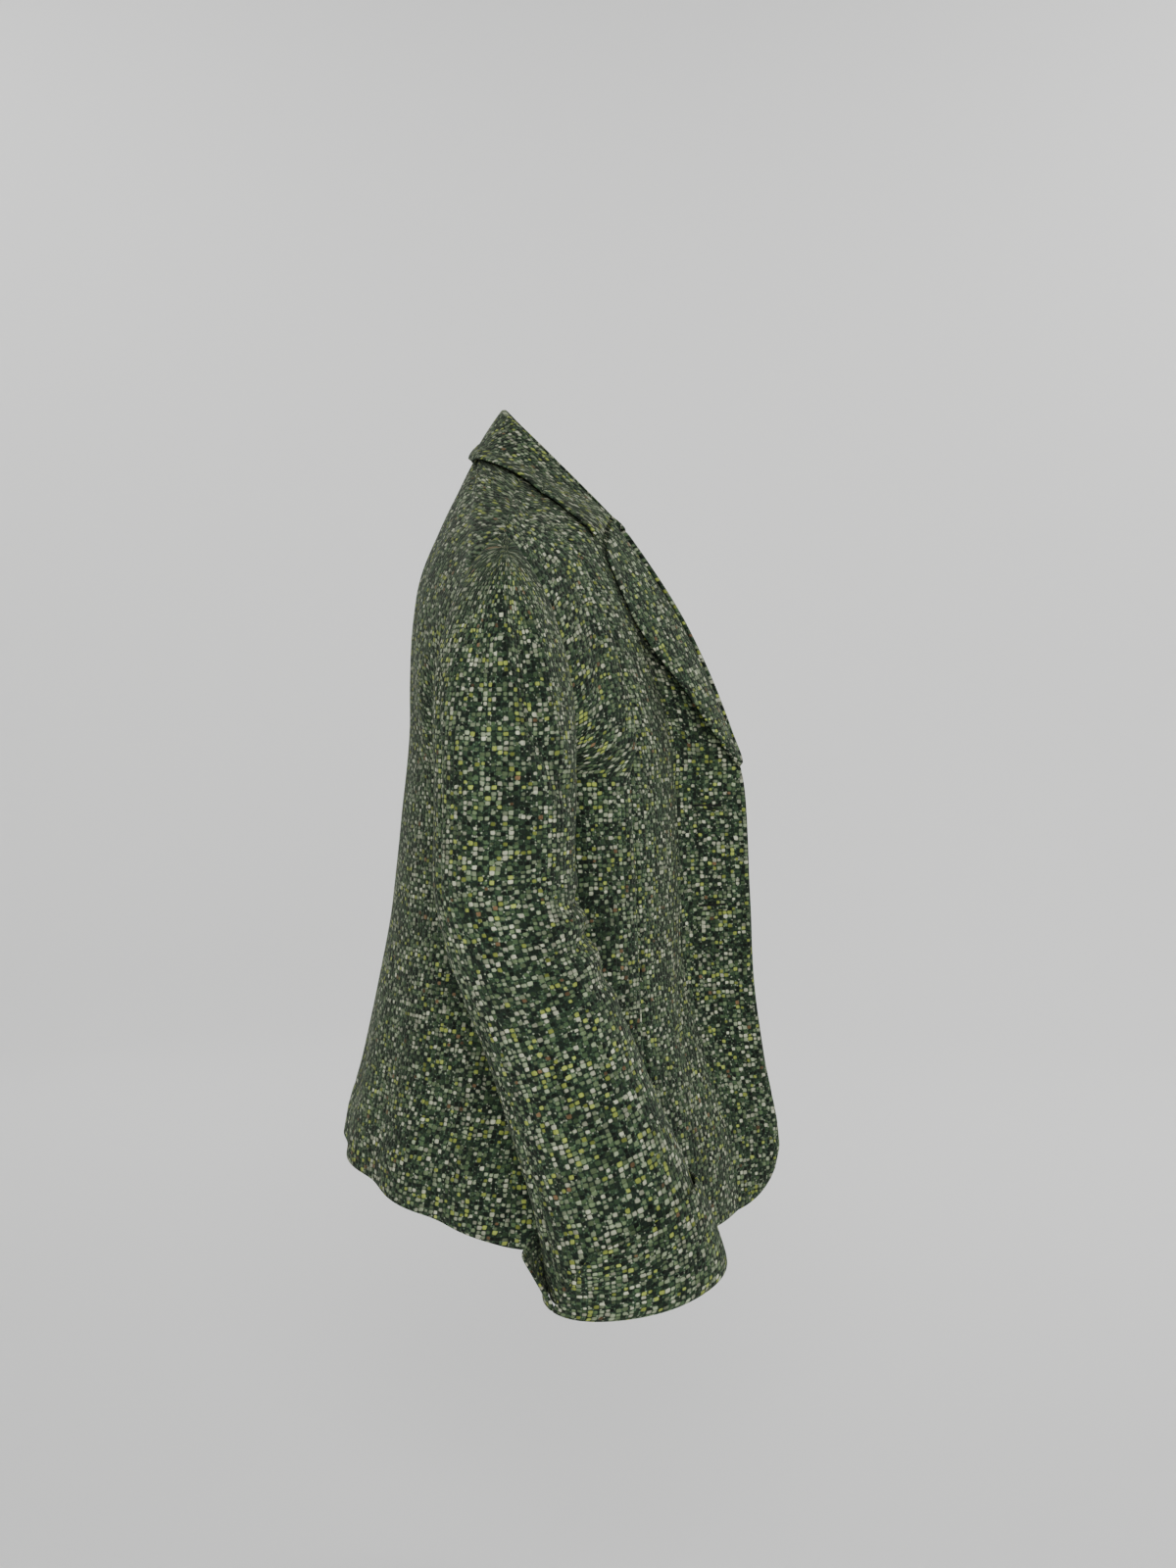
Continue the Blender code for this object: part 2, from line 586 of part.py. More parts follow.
def make_buttonholes(tweed):
    """Two bound lips at each hole, on the right front."""
    for hole, z in HOLES.items():
        length = level_length(FRONT, level_at(z))
        u = (HOLE_FROM_EDGE + np.linspace(0, HOLE_LENGTH, 5)) / length
        for lip, sign in (("top", 1), ("bottom", -1)):
            near = z + sign * LIP["slit"] / 2
            far = near + sign * LIP["height"]
            t = np.array([level_at(near), level_at(far)])
            across, level = np.meshgrid(u, t)
            grid = level_point(FRONT, across, level)
            normal = body_normal(FRONT, across, level)
            top = handed(grid + normal * (LIFT + LIP["thick"]), "right")
            cloth(f"lip_{hole}_{lip}", top, handed(normal, "right"), tweed, LIP["thick"])


def make_buttons(horn):
    """A turned button for each hole, on the left front's outer face."""
    for hole, z in HOLES.items():
        t = level_at(z)
        u = HOLE_FROM_EDGE / level_length(FRONT, t)
        seat = handed(level_point(FRONT, u, t), "left")
        axis = handed(body_normal(FRONT, np.array(u), np.array(t)), "left")
        side = unit(np.cross(axis, (0, 0, 1.0)))
        up = np.cross(side, axis)
        radius, thick, rim = BUTTON["radius"], BUTTON["thick"], BUTTON["rim"]
        low = LIFT + BUTTON["standoff"]
        profile = (
            (radius - 1.2, low),
            (radius, low + thick * 0.4),
            (radius - 0.5, low + thick),
            (radius - rim, low + thick),
            (radius - rim - 1.0, low + thick - BUTTON["well"]),
        )
        turns = 24
        points = [seat + axis * low, seat + axis * (low + thick - BUTTON["well"])]
        for k in range(turns):
            angle = 2 * math.pi * k / turns
            spoke = side * math.cos(angle) + up * math.sin(angle)
            points += [seat + spoke * r + axis * h for r, h in profile]
        faces = []
        n = len(profile)
        for k in range(turns):
            a, b = 2 + k * n, 2 + (k + 1) % turns * n
            faces += [(0, a, b), (1, b + n - 1, a + n - 1)]
            faces += [(a + j, a + j + 1, b + j + 1, b + j) for j in range(n - 1)]
        add_solid(f"button_{hole}", points, faces, horn)


def main():
    for obj in list(bpy.data.objects):
        bpy.data.objects.remove(obj, do_unlink=True)
    tweed = material("green_tweed", (0.075, 0.105, 0.06), 0.95)
    horn = material("dark_horn", (0.035, 0.028, 0.02), 0.35)
    make_fronts(tweed)
    make_backs(tweed)
    make_sleeves(tweed)
    make_cuffs(tweed)
    make_collar(tweed)
    make_lapels(tweed)
    make_buttonholes(tweed)
    make_buttons(horn)


main()
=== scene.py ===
"""The looks of a short, swing-back tweed hacking jacket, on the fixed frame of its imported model.

Each piece of cloth is a thin shell on its solid's form, with the folds, seams and turned edges
that the cloth takes when it is worn. Lengths in the tables are millimetres.
"""
import math

import bpy
import numpy as np
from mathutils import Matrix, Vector


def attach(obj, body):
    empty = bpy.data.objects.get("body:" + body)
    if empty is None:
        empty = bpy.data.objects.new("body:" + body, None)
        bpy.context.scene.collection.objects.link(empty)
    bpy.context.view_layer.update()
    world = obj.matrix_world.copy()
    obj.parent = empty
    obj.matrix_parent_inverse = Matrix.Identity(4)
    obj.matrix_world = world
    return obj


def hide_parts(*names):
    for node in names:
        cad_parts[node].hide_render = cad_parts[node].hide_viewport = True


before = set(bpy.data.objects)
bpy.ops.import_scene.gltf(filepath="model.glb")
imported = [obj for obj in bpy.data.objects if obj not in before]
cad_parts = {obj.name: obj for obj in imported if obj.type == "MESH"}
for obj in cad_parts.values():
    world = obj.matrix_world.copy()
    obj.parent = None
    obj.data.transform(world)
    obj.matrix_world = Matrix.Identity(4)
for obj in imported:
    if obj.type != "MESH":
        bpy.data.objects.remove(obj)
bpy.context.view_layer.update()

# Driving dimensions, in millimetres.
MM = 0.001
WALL = 2.0
SEAM_GAP = 0.3
NOSE_WIDTH = 34.0
NOSE_POWER = 1.4
SLOPE_POWER = 1.25
ARM_TURN = math.radians(8)
HEM_CORNER = 46.0
SIDES = {"right": -1, "left": 1}
UNDERARM = 7
LAST_LEVEL = 12

# Each row is one level of the cloth, from the shoulder seam (0) to the underarm (7) and the hem
# (12). c is its point at the centre and e its point at the armhole or side seam, with x measured
# outward from the middle. round is the fullness of the curve between them (1 is straight), and cut
# is how much of its quarter turn it runs through, less where the armhole ends it early. nose is
# how far the front edge stands forward, and seam is the princess seam's place along the level.
FRONT = {
    "cx": (67, 63, 56, 46, 34, 24, 14, 6, 5, 5, 5, 6, 6),
    "cy": (-8, -28, -49, -69, -112, -138, -160, -174, -179, -182, -190, -201, -204),
    "cz": (0, -11, -24, -36, -97, -146, -200, -245, -336, -400, -460, -515, -575),
    "ex": (194, 192, 188, 182, 173, 164, 159, 158, 160, 166, 174, 184, 192),
    "ey": (-17, -28, -39, -49, -57, -60, -46, -14, -20, -22, -22, -20, -18),
    "ez": (-57, -69, -87, -110, -145, -182, -210, -226, -336, -400, -460, -515, -575),
    "cut": (1.0, 0.95, 0.85, 0.75, 0.70, 0.74, 0.85, 1, 1, 1, 1, 1, 1),
    "round": (1.0, 1.1, 1.25, 1.4, 1.7, 2.0, 2.2, 2.3, 2.4, 2.3, 2.1, 1.95, 1.9),
    "nose": (0, 0, 0, 6, 22, 30, 40, 50, 52, 49, 42, 34, 28),
    "bulge": (0, 2, 4, 6, 5, 0, 0, 0, 0, 0, 0, 0, 0),
    "seam": (0.5, 0.52, 0.54, 0.56, 0.59, 0.61, 0.61, 0.60, 0.60, 0.60, 0.60, 0.60, 0.60),
}
BACK = {
    "cx": (67, 54, 30, 0, 0, 0, 0, 0, 0, 0, 0, 0, 0),
    "cy": (-8, 17, 33, 38, 59, 78, 87, 95, 108, 120, 133, 148, 157),
    "cz": (0, 13, 23, 27, -22, -68, -140, -222, -336, -400, -460, -515, -575),
    "ex": (194, 193, 191, 187, 181, 173, 164, 158, 160, 166, 174, 184, 192),
    "ey": (-17, -6, 5, 16, 26, 31, 26, -14, -20, -22, -22, -20, -18),
    "ez": (-57, -64, -76, -93, -118, -150, -190, -226, -336, -400, -460, -515, -575),
    "cut": (1.0, 0.95, 0.85, 0.78, 0.72, 0.73, 0.78, 1, 1, 1, 1, 1, 1),
    "round": (1.0, 1.1, 1.3, 1.5, 1.7, 1.85, 1.9, 1.9, 1.9, 1.9, 1.9, 1.9, 1.9),
    "nose": (0,) * 13,
    "bulge": (0, -2, -3, -2, 6, 4, 2, 0, 0, 0, 0, 0, 0),
}
HEM_Z = {"front": -570.0, "side": -556.0, "back": -521.0}

# Folds that hang in the skirt of the back: place along the level, half-width there and depth.
FLUTES = ((0.22, 0.07, 6.0), (0.50, 0.08, 8.0), (0.78, 0.07, 7.0))
FLUTE_TOP = 8.3

# Collar, from the centre back (0) to its front end (1): the seam to the neck, the fold at the
# top of the stand, and the outer edge of the fall.
COLLAR = {
    "q": (-0.22, 0, 0.22, 0.42, 0.58, 0.72, 0.86, 1.0),
    "sx": (-30, 0, 30, 54, 67, 63, 56, 46),
    "sy": (33, 38, 33, 17, -8, -28, -49, -69),
    "sz": (23, 27, 23, 13, 0, -11, -24, -36),
    "rx": (-26, 0, 26, 43, 52, 54, 51, 45.5),
    "ry": (13, 19, 13, -1, -18, -36, -53.5, -69.5),
    "rz": (50, 57, 50, 36, 19, 1, -17, -34.5),
    "fx": (-44, 0, 44, 78, 97, 100, 98, 92),
    "fy": (36, 44, 36, 19, -8, -26, -44, -62),
    "fz": (11, 17, 11, 3, -19, -37, -51, -61),
}

STAND_END = 0.93

# Lapel, from the gorge (level 3) to the break of the roll line: level and outer edge.
LAPEL = {
    "t": (3.05, 3.5, 4.0, 4.6, 5.2, 5.9, 6.6),
    "x": (88, 88, 84, 73, 60, 38, 10),
    "y": (-69, -80, -92, -110, -130, -154, -170),
    "z": (-69, -90, -110, -139, -166, -204, -229),
}

# Sleeve rings down the arm: centre, half depth, half width and forward tilt in degrees.
SLEEVE = {
    "x": (212, 216, 220, 224, 229, 232, 238),
    "y": (-21, -21, -32, -54, -76, -95, -112),
    "z": (-238, -290, -340, -392, -446, -497, -555),
    "deep": (48.5, 48.5, 48, 48, 50, 53, 56.4),
    "wide": (47, 46, 45, 45, 46, 47.5, 44.6),
    "tilt": (0, 2, 10, 19, 21, 20, 10),
    "drop": (0, 0, 0, 0, 0, 2, 6),
}
# The armhole rows at which its two seams start.
SLEEVE_SEAMS = {"front": 5.1, "back": 3.7}
SLEEVE_ROWS = np.concatenate([np.linspace(0, 1, 41), np.linspace(1, 7, 101)[1:]])

# Cuff rings from the fold at the bottom to the turned-back edge, and the two edges of its split.
CUFF = {
    "x": (238.5, 238.5, 236, 233.7),
    "y": (-113, -113, -107, -100.5),
    "z": (-557.5, -554, -534, -514),
    "deep": (59, 62, 61, 58.5),
    "wide": (47, 50, 51, 51.5),
    "tilt": (10, 10, 16, 23),
    "drop": (7, 7, 5, 3),
    "near": (-0.1738, -0.1735, -0.11, -0.05),
    "under": (0.8252, 0.825, 0.80, 0.772),
    "near_flare": (0, 0, 2, 5),
    "under_flare": (0, 0, 4, 11),
}
FLARE_REACH = 0.1

HOLES = {"upper": -259.0, "lower": -337.0}
HOLE_FROM_EDGE = 20.0
HOLE_LENGTH = 26.0
LIP = {"height": 2.6, "slit": 2.0, "base": 0.15, "rise": 1.3, "swell": 0.6}
LIP_COLS = 27
# Half a button's section, from the middle of its back out and round to the middle of its face:
# radius and height above the cloth.
BUTTON_SECTION = (
    (0.0, 2.0), (8.0, 2.0), (9.8, 2.3), (10.7, 2.9), (11.0, 3.44), (10.85, 4.7),
    (10.4, 5.2), (9.88, 5.25), (9.4, 5.05), (8.4, 4.4), (6.0, 4.3), (0.0, 4.3),
)
BUTTON_TURNS = 72
THREAD = {"radius": 0.42, "flat": 0.8, "apart": 1.7, "reach": 1.8, "low": 4.05, "arch": 0.55}

# Mesh density: rows and columns of each piece, in levels and rings.
ROWS = np.concatenate([np.linspace(0, UNDERARM, 71), np.linspace(UNDERARM, 11.3, 81)[1:]])
HEM_ROWS = 10
# The rows over a rounded hem: where they start to give way, and the least room they keep.
HEM_GIVE = {"start": 10.1, "least": 0.12, "clear": 0.05}
ROW_STEP = 0.012
COLS = {"front": 34, "side_front": 26, "back": 60}
ARC_SAMPLES = 65


def spline(knots, values, at):
    """A smooth curve through the values at the knots."""
    knots = np.asarray(knots, float)
    values = np.asarray(values, float)
    at = np.clip(at, knots[0], knots[-1])
    slope = np.gradient(values, knots)
    rise = np.diff(values)
    slope[1:-1][rise[1:] * rise[:-1] <= 0] = 0
    i = np.clip(np.searchsorted(knots, at, side="right") - 1, 0, len(knots) - 2)
    step = knots[i + 1] - knots[i]
    s = (at - knots[i]) / step
    start = (1 + 2 * s) * (1 - s) ** 2 * values[i] + s * (1 - s) ** 2 * step * slope[i]
    end = s**2 * (3 - 2 * s) * values[i + 1] + s**2 * (s - 1) * step * slope[i + 1]
    return start + end


def read(table, at):
    """Every column of a table at the places given, by name."""
    keys = [key for key in table if key not in ("q", "t")]
    knots = table.get("q") or table.get("t") or range(len(table[keys[0]]))
    row = {key: spline(knots, table[key], at) for key in keys}
    if "ex" in table:
        # The armhole ends at the underarm, where the side seam starts in a new direction.
        for key in ("ex", "ey", "ez", "cut"):
            above = spline(range(UNDERARM + 1), table[key][: UNDERARM + 1], at)
            below = spline(range(UNDERARM, len(table[key])), table[key][UNDERARM:], at)
            row[key] = np.where(np.asarray(at) < UNDERARM, above, below)
    return row


def unit(v):
    return v / np.maximum(np.linalg.norm(v, axis=-1, keepdims=True), 1e-9)


def level_point(table, u, t):
    """The point at the fraction u along level t, measured by length from the centre."""
    u, t = np.broadcast_arrays(np.asarray(u, float), np.asarray(t, float))
    row = {key: value[..., None] for key, value in read(table, t).items()}
    power = 2 / row["round"]
    last = row["cut"] * math.pi / 2
    angle = last * np.linspace(0, 1, ARC_SAMPLES)
    across = np.sin(angle) ** power / np.sin(last) ** power
    end = np.cos(np.minimum(last, math.pi / 2)) ** power
    along = (np.maximum(np.cos(angle), 0) ** power - end) / (1 - end)
    x = row["cx"] + (row["ex"] - row["cx"]) * across
    inset = np.clip(1 - (x - row["cx"]) / NOSE_WIDTH, 0, 1) ** NOSE_POWER
    y = row["ey"] + (row["cy"] + row["nose"] - row["ey"]) * along - row["nose"] * inset
    side = np.sign(row["cy"] - row["ey"])
    y = y + side * row["bulge"] * np.sin(math.pi * across)
    z = row["cz"] + (row["ez"] - row["cz"]) * across**SLOPE_POWER
    points = np.stack([x, y, z], axis=-1)
    length = np.linalg.norm(np.diff(points, axis=-2), axis=-1).cumsum(axis=-1)
    length = np.concatenate([np.zeros(length.shape[:-1] + (1,)), length], axis=-1)
    goal = u * length[..., -1]
    i = np.clip((length < goal[..., None]).sum(axis=-1) - 1, 0, ARC_SAMPLES - 2)[..., None]
    before = np.take_along_axis(length, i, -1)[..., 0]
    after = np.take_along_axis(length, i + 1, -1)[..., 0]
    part = ((goal - before) / np.maximum(after - before, 1e-9))[..., None]
    low = np.take_along_axis(points, i[..., None], -2)[..., 0, :]
    high = np.take_along_axis(points, i[..., None] + 1, -2)[..., 0, :]
    return low + (high - low) * part


def level_length(table, t):
    u = np.linspace(0, 1, ARC_SAMPLES)
    return np.linalg.norm(np.diff(level_point(table, u, t), axis=0), axis=-1).sum()


def body_point(table, u, t):
    """level_point with the folds of the back's skirt."""
    p = level_point(table, u, t)
    if table is BACK:
        grow = np.clip((t - FLUTE_TOP) / (LAST_LEVEL - FLUTE_TOP), 0, 1) ** 1.3
        fold = sum(depth * np.exp(-(((u - at) / width) ** 2)) for at, width, depth in FLUTES)
        middle = np.array([0.0, BACK["ey"][-1], 0.0])
        spoke = unit((p - middle) * (1, 1, 0))
        p = p - spoke * (fold * grow)[..., None]
    return p


def hem_level(table, u):
    """The level at which the hem runs, at the fraction u along it."""
    if table is FRONT:
        z = HEM_Z["front"] + (HEM_Z["side"] - HEM_Z["front"]) * u**2
        reach = np.clip(1 - u * level_length(FRONT, 11.5) / HEM_CORNER, 0, 1)
        z = z + HEM_CORNER * (1 - np.sqrt(1 - reach**2 * 0.98))
    else:
        z = HEM_Z["back"] + (HEM_Z["side"] - HEM_Z["back"]) * u**1.5
    t = np.linspace(UNDERARM, LAST_LEVEL, 200)
    return np.interp(-z, -read(table, t)["ez"], t)


def body_grid(table, u, rows, hem_rows):
    """Points over a panel: u has one value for each row and column, or one for each column."""
    u = np.broadcast_to(u, (len(rows) + hem_rows, np.shape(u)[-1]))
    last = rows[-1]
    t = np.empty(u.shape)
    t[: len(rows)] = np.asarray(rows)[:, None]
    hem = hem_level(table, u[-1])
    for k in range(hem_rows):
        t[len(rows) + k] = last + (hem - last) * (k + 1) / hem_rows
    # The rows above the hem's own give way where its corner rises past them.
    start = HEM_GIVE["start"]
    squeeze = np.minimum((hem - start) / (LAST_LEVEL - start) + HEM_GIVE["least"], 1)
    gives = (t > start) & (t > hem - HEM_GIVE["clear"])
    t = np.where(gives, np.minimum(t, start + (t - start) * squeeze), t)
    for k in range(len(t) - 2, 0, -1):
        t[k] = np.minimum(t[k], t[k + 1] - ROW_STEP)
    t[-1] = hem
    return u, t, body_point(table, u, t)


def body_normal(table, u, t):
    """Unit normal pointing out of the body."""
    step = 1e-3
    left, right = np.clip(u - step, 0, 1), np.clip(u + step, 0, 1)
    du = body_point(table, right, t) - body_point(table, left, t)
    top, bottom = np.clip(t - step, 0, LAST_LEVEL), np.clip(t + step, 0, LAST_LEVEL)
    dt = body_point(table, u, bottom) - body_point(table, u, top)
    normal = unit(np.cross(du, dt))
    return -normal if table is FRONT else normal


def princess(rows):
    return spline(range(LAST_LEVEL + 1), FRONT["seam"], rows)


def pull_in(grid, edges, gap=SEAM_GAP / 2):
    """Draws the named edges of a grid of points back from the seam."""
    grid = grid.copy()
    for edge in edges:
        first, second = {"top": (0, 1), "bottom": (-1, -2)}.get(edge, (None, None))
        if first is not None:
            grid[first] += unit(grid[second] - grid[first]) * gap
        else:
            first, second = {"left": (0, 1), "right": (-1, -2)}[edge]
            grid[:, first] += unit(grid[:, second] - grid[:, first]) * gap
    return grid


def handed(points, side):
    return points * (SIDES[side], 1, 1)


def mitre(one, other):
    """A shared normal along a seam, where the two pieces face nearly the same way."""
    shared = unit(one + other)
    same = np.einsum("...i,...i->...", one, other)[..., None]
    return np.where(same > 0, shared, one)


def arm_axes(tilt):
    """Directions out from the body and to the front, across an arm tilted forward."""
    tilt = np.radians(tilt)[..., None]
    front = np.array([-math.sin(ARM_TURN), -math.cos(ARM_TURN), 0.0])
    out = np.array([math.cos(ARM_TURN), -math.sin(ARM_TURN), 0.0])
    out = np.broadcast_to(out, np.shape(tilt)[:-1] + (3,))
    return out, front * np.cos(tilt) + (0, 0, 1) * np.sin(tilt)


def ring_point(table, w, at):
    """A point of an arm's rings: w goes round it from the outside (0) by the front (0.25)."""
    row = read(table, at)
    out, front = arm_axes(row["tilt"])
    angle = 2 * math.pi * w
    centre = np.stack([row["x"], row["y"], row["z"] - row["drop"] * np.cos(angle)], axis=-1)
    reach = (row["wide"] * np.cos(angle))[..., None] * out
    return centre + reach + (row["deep"] * np.sin(angle))[..., None] * front


def armhole_point(w):
    """The armhole's edge: w goes from the shoulder (0) by the front and underarm (0.5) round."""
    w = np.mod(w, 1.0)
    t = np.linspace(0, UNDERARM, 120)
    found = []
    for table, part in ((FRONT, w * 2), (BACK, (1 - w) * 2)):
        edge = level_point(table, 1.0, t)
        length = np.append(0, np.linalg.norm(np.diff(edge, axis=0), axis=-1).cumsum())
        goal = np.clip(part, 0, 1) * length[-1]
        found.append(np.stack([np.interp(goal, length, edge[:, k]) for k in range(3)], axis=-1))
    return np.where((w <= 0.5)[..., None], found[0], found[1])


def armhole_fraction(table, t):
    """How far round the armhole, as w, its edge is at level t."""
    levels = np.linspace(0, UNDERARM, 120)
    edge = level_point(table, 1.0, levels)
    length = np.append(0, np.linalg.norm(np.diff(edge, axis=0), axis=-1).cumsum())
    half = np.interp(t, levels, length / length[-1]) / 2
    return half if table is FRONT else 1 - half


def sleeve_point(w, s):
    """The sleeve: s is 0 at the armhole, 1 at the first ring and 7 at the last."""
    w, s = np.broadcast_arrays(np.asarray(w, float), np.asarray(s, float))
    start = armhole_point(w)
    first = ring_point(SLEEVE, w, np.zeros(w.shape))
    out, front = arm_axes(np.zeros(w.shape))
    angle = (2 * math.pi * w)[..., None]
    leave = out * (0.6 + 0.25 * np.cos(angle)) + front * (0.25 * np.sin(angle))
    leave = unit(leave - np.array([0, 0, 1.0]) * (0.75 - 0.25 * np.cos(angle)))
    arrive = unit(ring_point(SLEEVE, w, np.full(w.shape, 0.05)) - first)
    span = np.linalg.norm(first - start, axis=-1, keepdims=True)
    k = np.clip(s, 0, 1)[..., None]
    cap = (1 + 2 * k) * (1 - k) ** 2 * start + k**2 * (3 - 2 * k) * first
    cap = cap + k * (1 - k) ** 2 * span * leave + k**2 * (k - 1) * span * arrive
    below = ring_point(SLEEVE, w, np.clip(s - 1, 0, 6))
    return np.where(s[..., None] < 1, cap, below)


def grid_normal(points, w, s, step=1e-3):
    """Unit normal of a surface given as a function of w and s, pointing out of the arm."""
    dw = points(w + step, s) - points(w - step, s)
    ds = points(w, s + step) - points(w, np.maximum(s - step, 0))
    return unit(np.cross(dw, ds))


def cuff_point(w, r):
    """The cuff's band: w goes from its near edge (0) to its under edge (1), r up from the fold."""
    w, r = np.broadcast_arrays(np.asarray(w, float), np.asarray(r, float))
    row = read(CUFF, r)
    turn = row["near"] + (row["under"] - row["near"]) * w
    p = ring_point(CUFF, turn, r)
    row_centre = np.stack([row["x"], row["y"], row["z"]], axis=-1)
    flare = row["near_flare"] * np.exp(-((w / FLARE_REACH) ** 2))
    flare = flare + row["under_flare"] * np.exp(-(((1 - w) / FLARE_REACH) ** 2))
    return p + unit(p - row_centre) * flare[..., None]


def collar_curves(q):
    """Seam, fold and outer edge of the collar, for q from -1 (right end) to 1 (left end)."""
    row = read(COLLAR, np.abs(q))
    sign = np.where(q < 0, -1.0, 1.0)
    curves = []
    for name in ("s", "r", "f"):
        curves.append(np.stack([row[name + "x"] * sign, row[name + "y"], row[name + "z"]], axis=-1))
    return curves


def strip_normal(grid, inside):
    """Normals of a grid, turned away from the point inside."""
    across = np.gradient(grid, axis=1)
    down = np.gradient(grid, axis=0)
    normal = unit(np.cross(across, down))
    away = np.einsum("...i,...i->...", normal, grid - inside)
    return normal * np.sign(away.mean())


BODY_SAMPLES = []


def body_samples():
    """Points and normals all over the upper fronts and back, and whether each is off the edge."""
    if not BODY_SAMPLES:
        u, t = np.meshgrid(np.linspace(0, 1, 41), np.linspace(0, 8, 121))
        points, normals, inner = [], [], []
        for table in (FRONT, BACK):
            p = body_point(table, u, t).reshape(-1, 3)
            n = body_normal(table, u, t).reshape(-1, 3)
            for side in SIDES:
                points.append(handed(p, side))
                normals.append(handed(n, side))
                inner.append(u.ravel() > 0)
        BODY_SAMPLES.extend(np.concatenate(found) for found in (points, normals, inner))
    return BODY_SAMPLES


def clear_of_body(grid, clearance, rows=slice(2, None), passes=3):
    """Lifts what lies on the body until it clears the cloth under it."""
    points, normals, inner = body_samples()
    grid = grid.copy()
    for index in list(np.ndindex(grid[rows].shape[:2])) * passes:
        p = grid[rows][index]
        nearest = np.argmin(((points - p) ** 2).sum(axis=1))
        height = np.dot(p - points[nearest], normals[nearest])
        if inner[nearest] and height < clearance:
            grid[rows][index] = p + normals[nearest] * (clearance - height)
    return grid


def level_at(z):
    t = np.linspace(UNDERARM, LAST_LEVEL, 400)
    return np.interp(-z, -level_point(FRONT, 0.1, t)[:, 2], t)


# Soft creases in the cloth: where each runs, its half-width and its depth. On a sleeve each point
# is (way round, ring); on the body it is (way across, level).
SLEEVE_FOLDS = (
    (((0.03, 0.28), (0.045, 0.45), (0.075, 0.75), (0.19, 1.05)), 8.0, 4.5),
    (((-0.06, 0.35), (-0.04, 0.7), (0.0, 1.2)), 10.0, 2.0),
    (((0.34, 2.35), (0.25, 2.5), (0.14, 2.45)), 7.0, 3.0),
    (((0.36, 3.05), (0.25, 3.0), (0.10, 3.2)), 6.5, 3.4),
    (((0.33, 3.75), (0.24, 3.65), (0.16, 3.75)), 7.0, 2.2),
    (((0.62, 3.0), (0.70, 3.3), (0.80, 3.35)), 8.0, 1.6),
    (((0.10, 5.4), (0.02, 5.9), (-0.08, 6.1)), 8.0, 1.4),
)
FRONT_FOLDS = (
    (((0.93, 6.6), (0.80, 7.0), (0.66, 7.6)), 9.0, 2.4),
    (((0.97, 8.0), (0.86, 8.7), (0.80, 9.6)), 11.0, 2.4),
    (((0.30, 8.3), (0.36, 9.4), (0.34, 10.8)), 13.0, 2.2),
    (((0.75, 3.4), (0.80, 4.6), (0.86, 5.6)), 9.0, 1.8),
)
BACK_FOLDS = (
    (((0.92, 5.2), (0.82, 6.1), (0.74, 7.0)), 10.0, 3.0),
    (((0.97, 6.9), (0.86, 7.5), (0.78, 8.4)), 10.0, 2.6),
    (((0.42, 3.6), (0.50, 5.0), (0.56, 6.4)), 15.0, 1.8),
)
RIDGE = {"away": 1.9, "share": 0.42}
RIPPLE = 0.35
SEAM_ROLL = {"depth": 1.1, "reach": 2.3}
EDGE_ROLL = {"depth": 0.7, "reach": 1.6}
TURN_UP = {"height": 40.0, "depth": 0.45, "reach": 2.5}
RIM_ROUND = 0.45
CUFF_RIPPLE = 0.25
ALL_EDGES = ("top", "bottom", "left", "right")
# The back's neck ends at this level, where its centre seam starts.
BACK_NECK = 3
# How far apart on the weave the pieces are cut.
WEAVE_APART = 1000
# The turn of the collar over its fold and of the lapel over its roll line, as steps past the line
# and steps away from the cloth beneath, then the fullness and the room below the turned part.
COLLAR_TURN = ((0.4, -0.5), (0.45, 0.2), (0.2, 0.8))
COLLAR_FULL = {"belly": 1.0, "fold": 0.8, "clear": 4.0}
LAPEL_TURN = ((0.6, 0.0), (0.95, 0.7), (1.0, 1.6))
LAPEL_FULL = {"belly": 2.5, "fold": 1.6, "clear": 3.0}
STAND_INSET = 0.8
NECK_MIDDLE = np.array([0.0, -20.0, -40.0])
CHEST_MIDDLE = np.array([40.0, 0.0, -150.0])
SLIT_REACH = 1.3
SLIT_LIFT = 0.7


def path_points(points, surface, count=40):
    """A crease's path as points on the cloth."""
    knots = np.linspace(0, 1, len(points))
    along = np.linspace(0, 1, count)
    first, second = (spline(knots, column, along) for column in zip(*points))
    return surface(first, second)


def creased(grid, normal, folds, surface):
    """The grid with each crease pressed in and a low ridge raised beside it."""
    depth = np.zeros(grid.shape[:2])
    for points, width, deep in folds:
        path = path_points(points, surface)
        gap = np.linalg.norm(grid[:, :, None] - path[None, None], axis=-1)
        nearest = gap.min(axis=-1)
        place = gap.argmin(axis=-1) / (len(path) - 1)
        fade = np.sin(math.pi * np.clip(place, 0.04, 0.96)) ** 0.6
        trough = np.exp(-((nearest / width) ** 2))
        ridge = np.exp(-(((nearest - RIDGE["away"] * width) / width) ** 2))
        depth += deep * fade * (trough - RIDGE["share"] * ridge)
    return grid - normal * depth[..., None]


def rippled(grid, normal, amount=RIPPLE):
    """A slight unevenness, as cloth has."""
    x, y, z = np.moveaxis(grid, -1, 0)
    wave = np.sin(x / 17 + np.sin(z / 41)) * np.sin(z / 29 + y / 23)
    wave = wave + 0.5 * np.sin(y / 11 + z / 13 + 1.7) * np.sin(z / 19 - x / 9)
    return grid + normal * (amount * wave)[..., None]


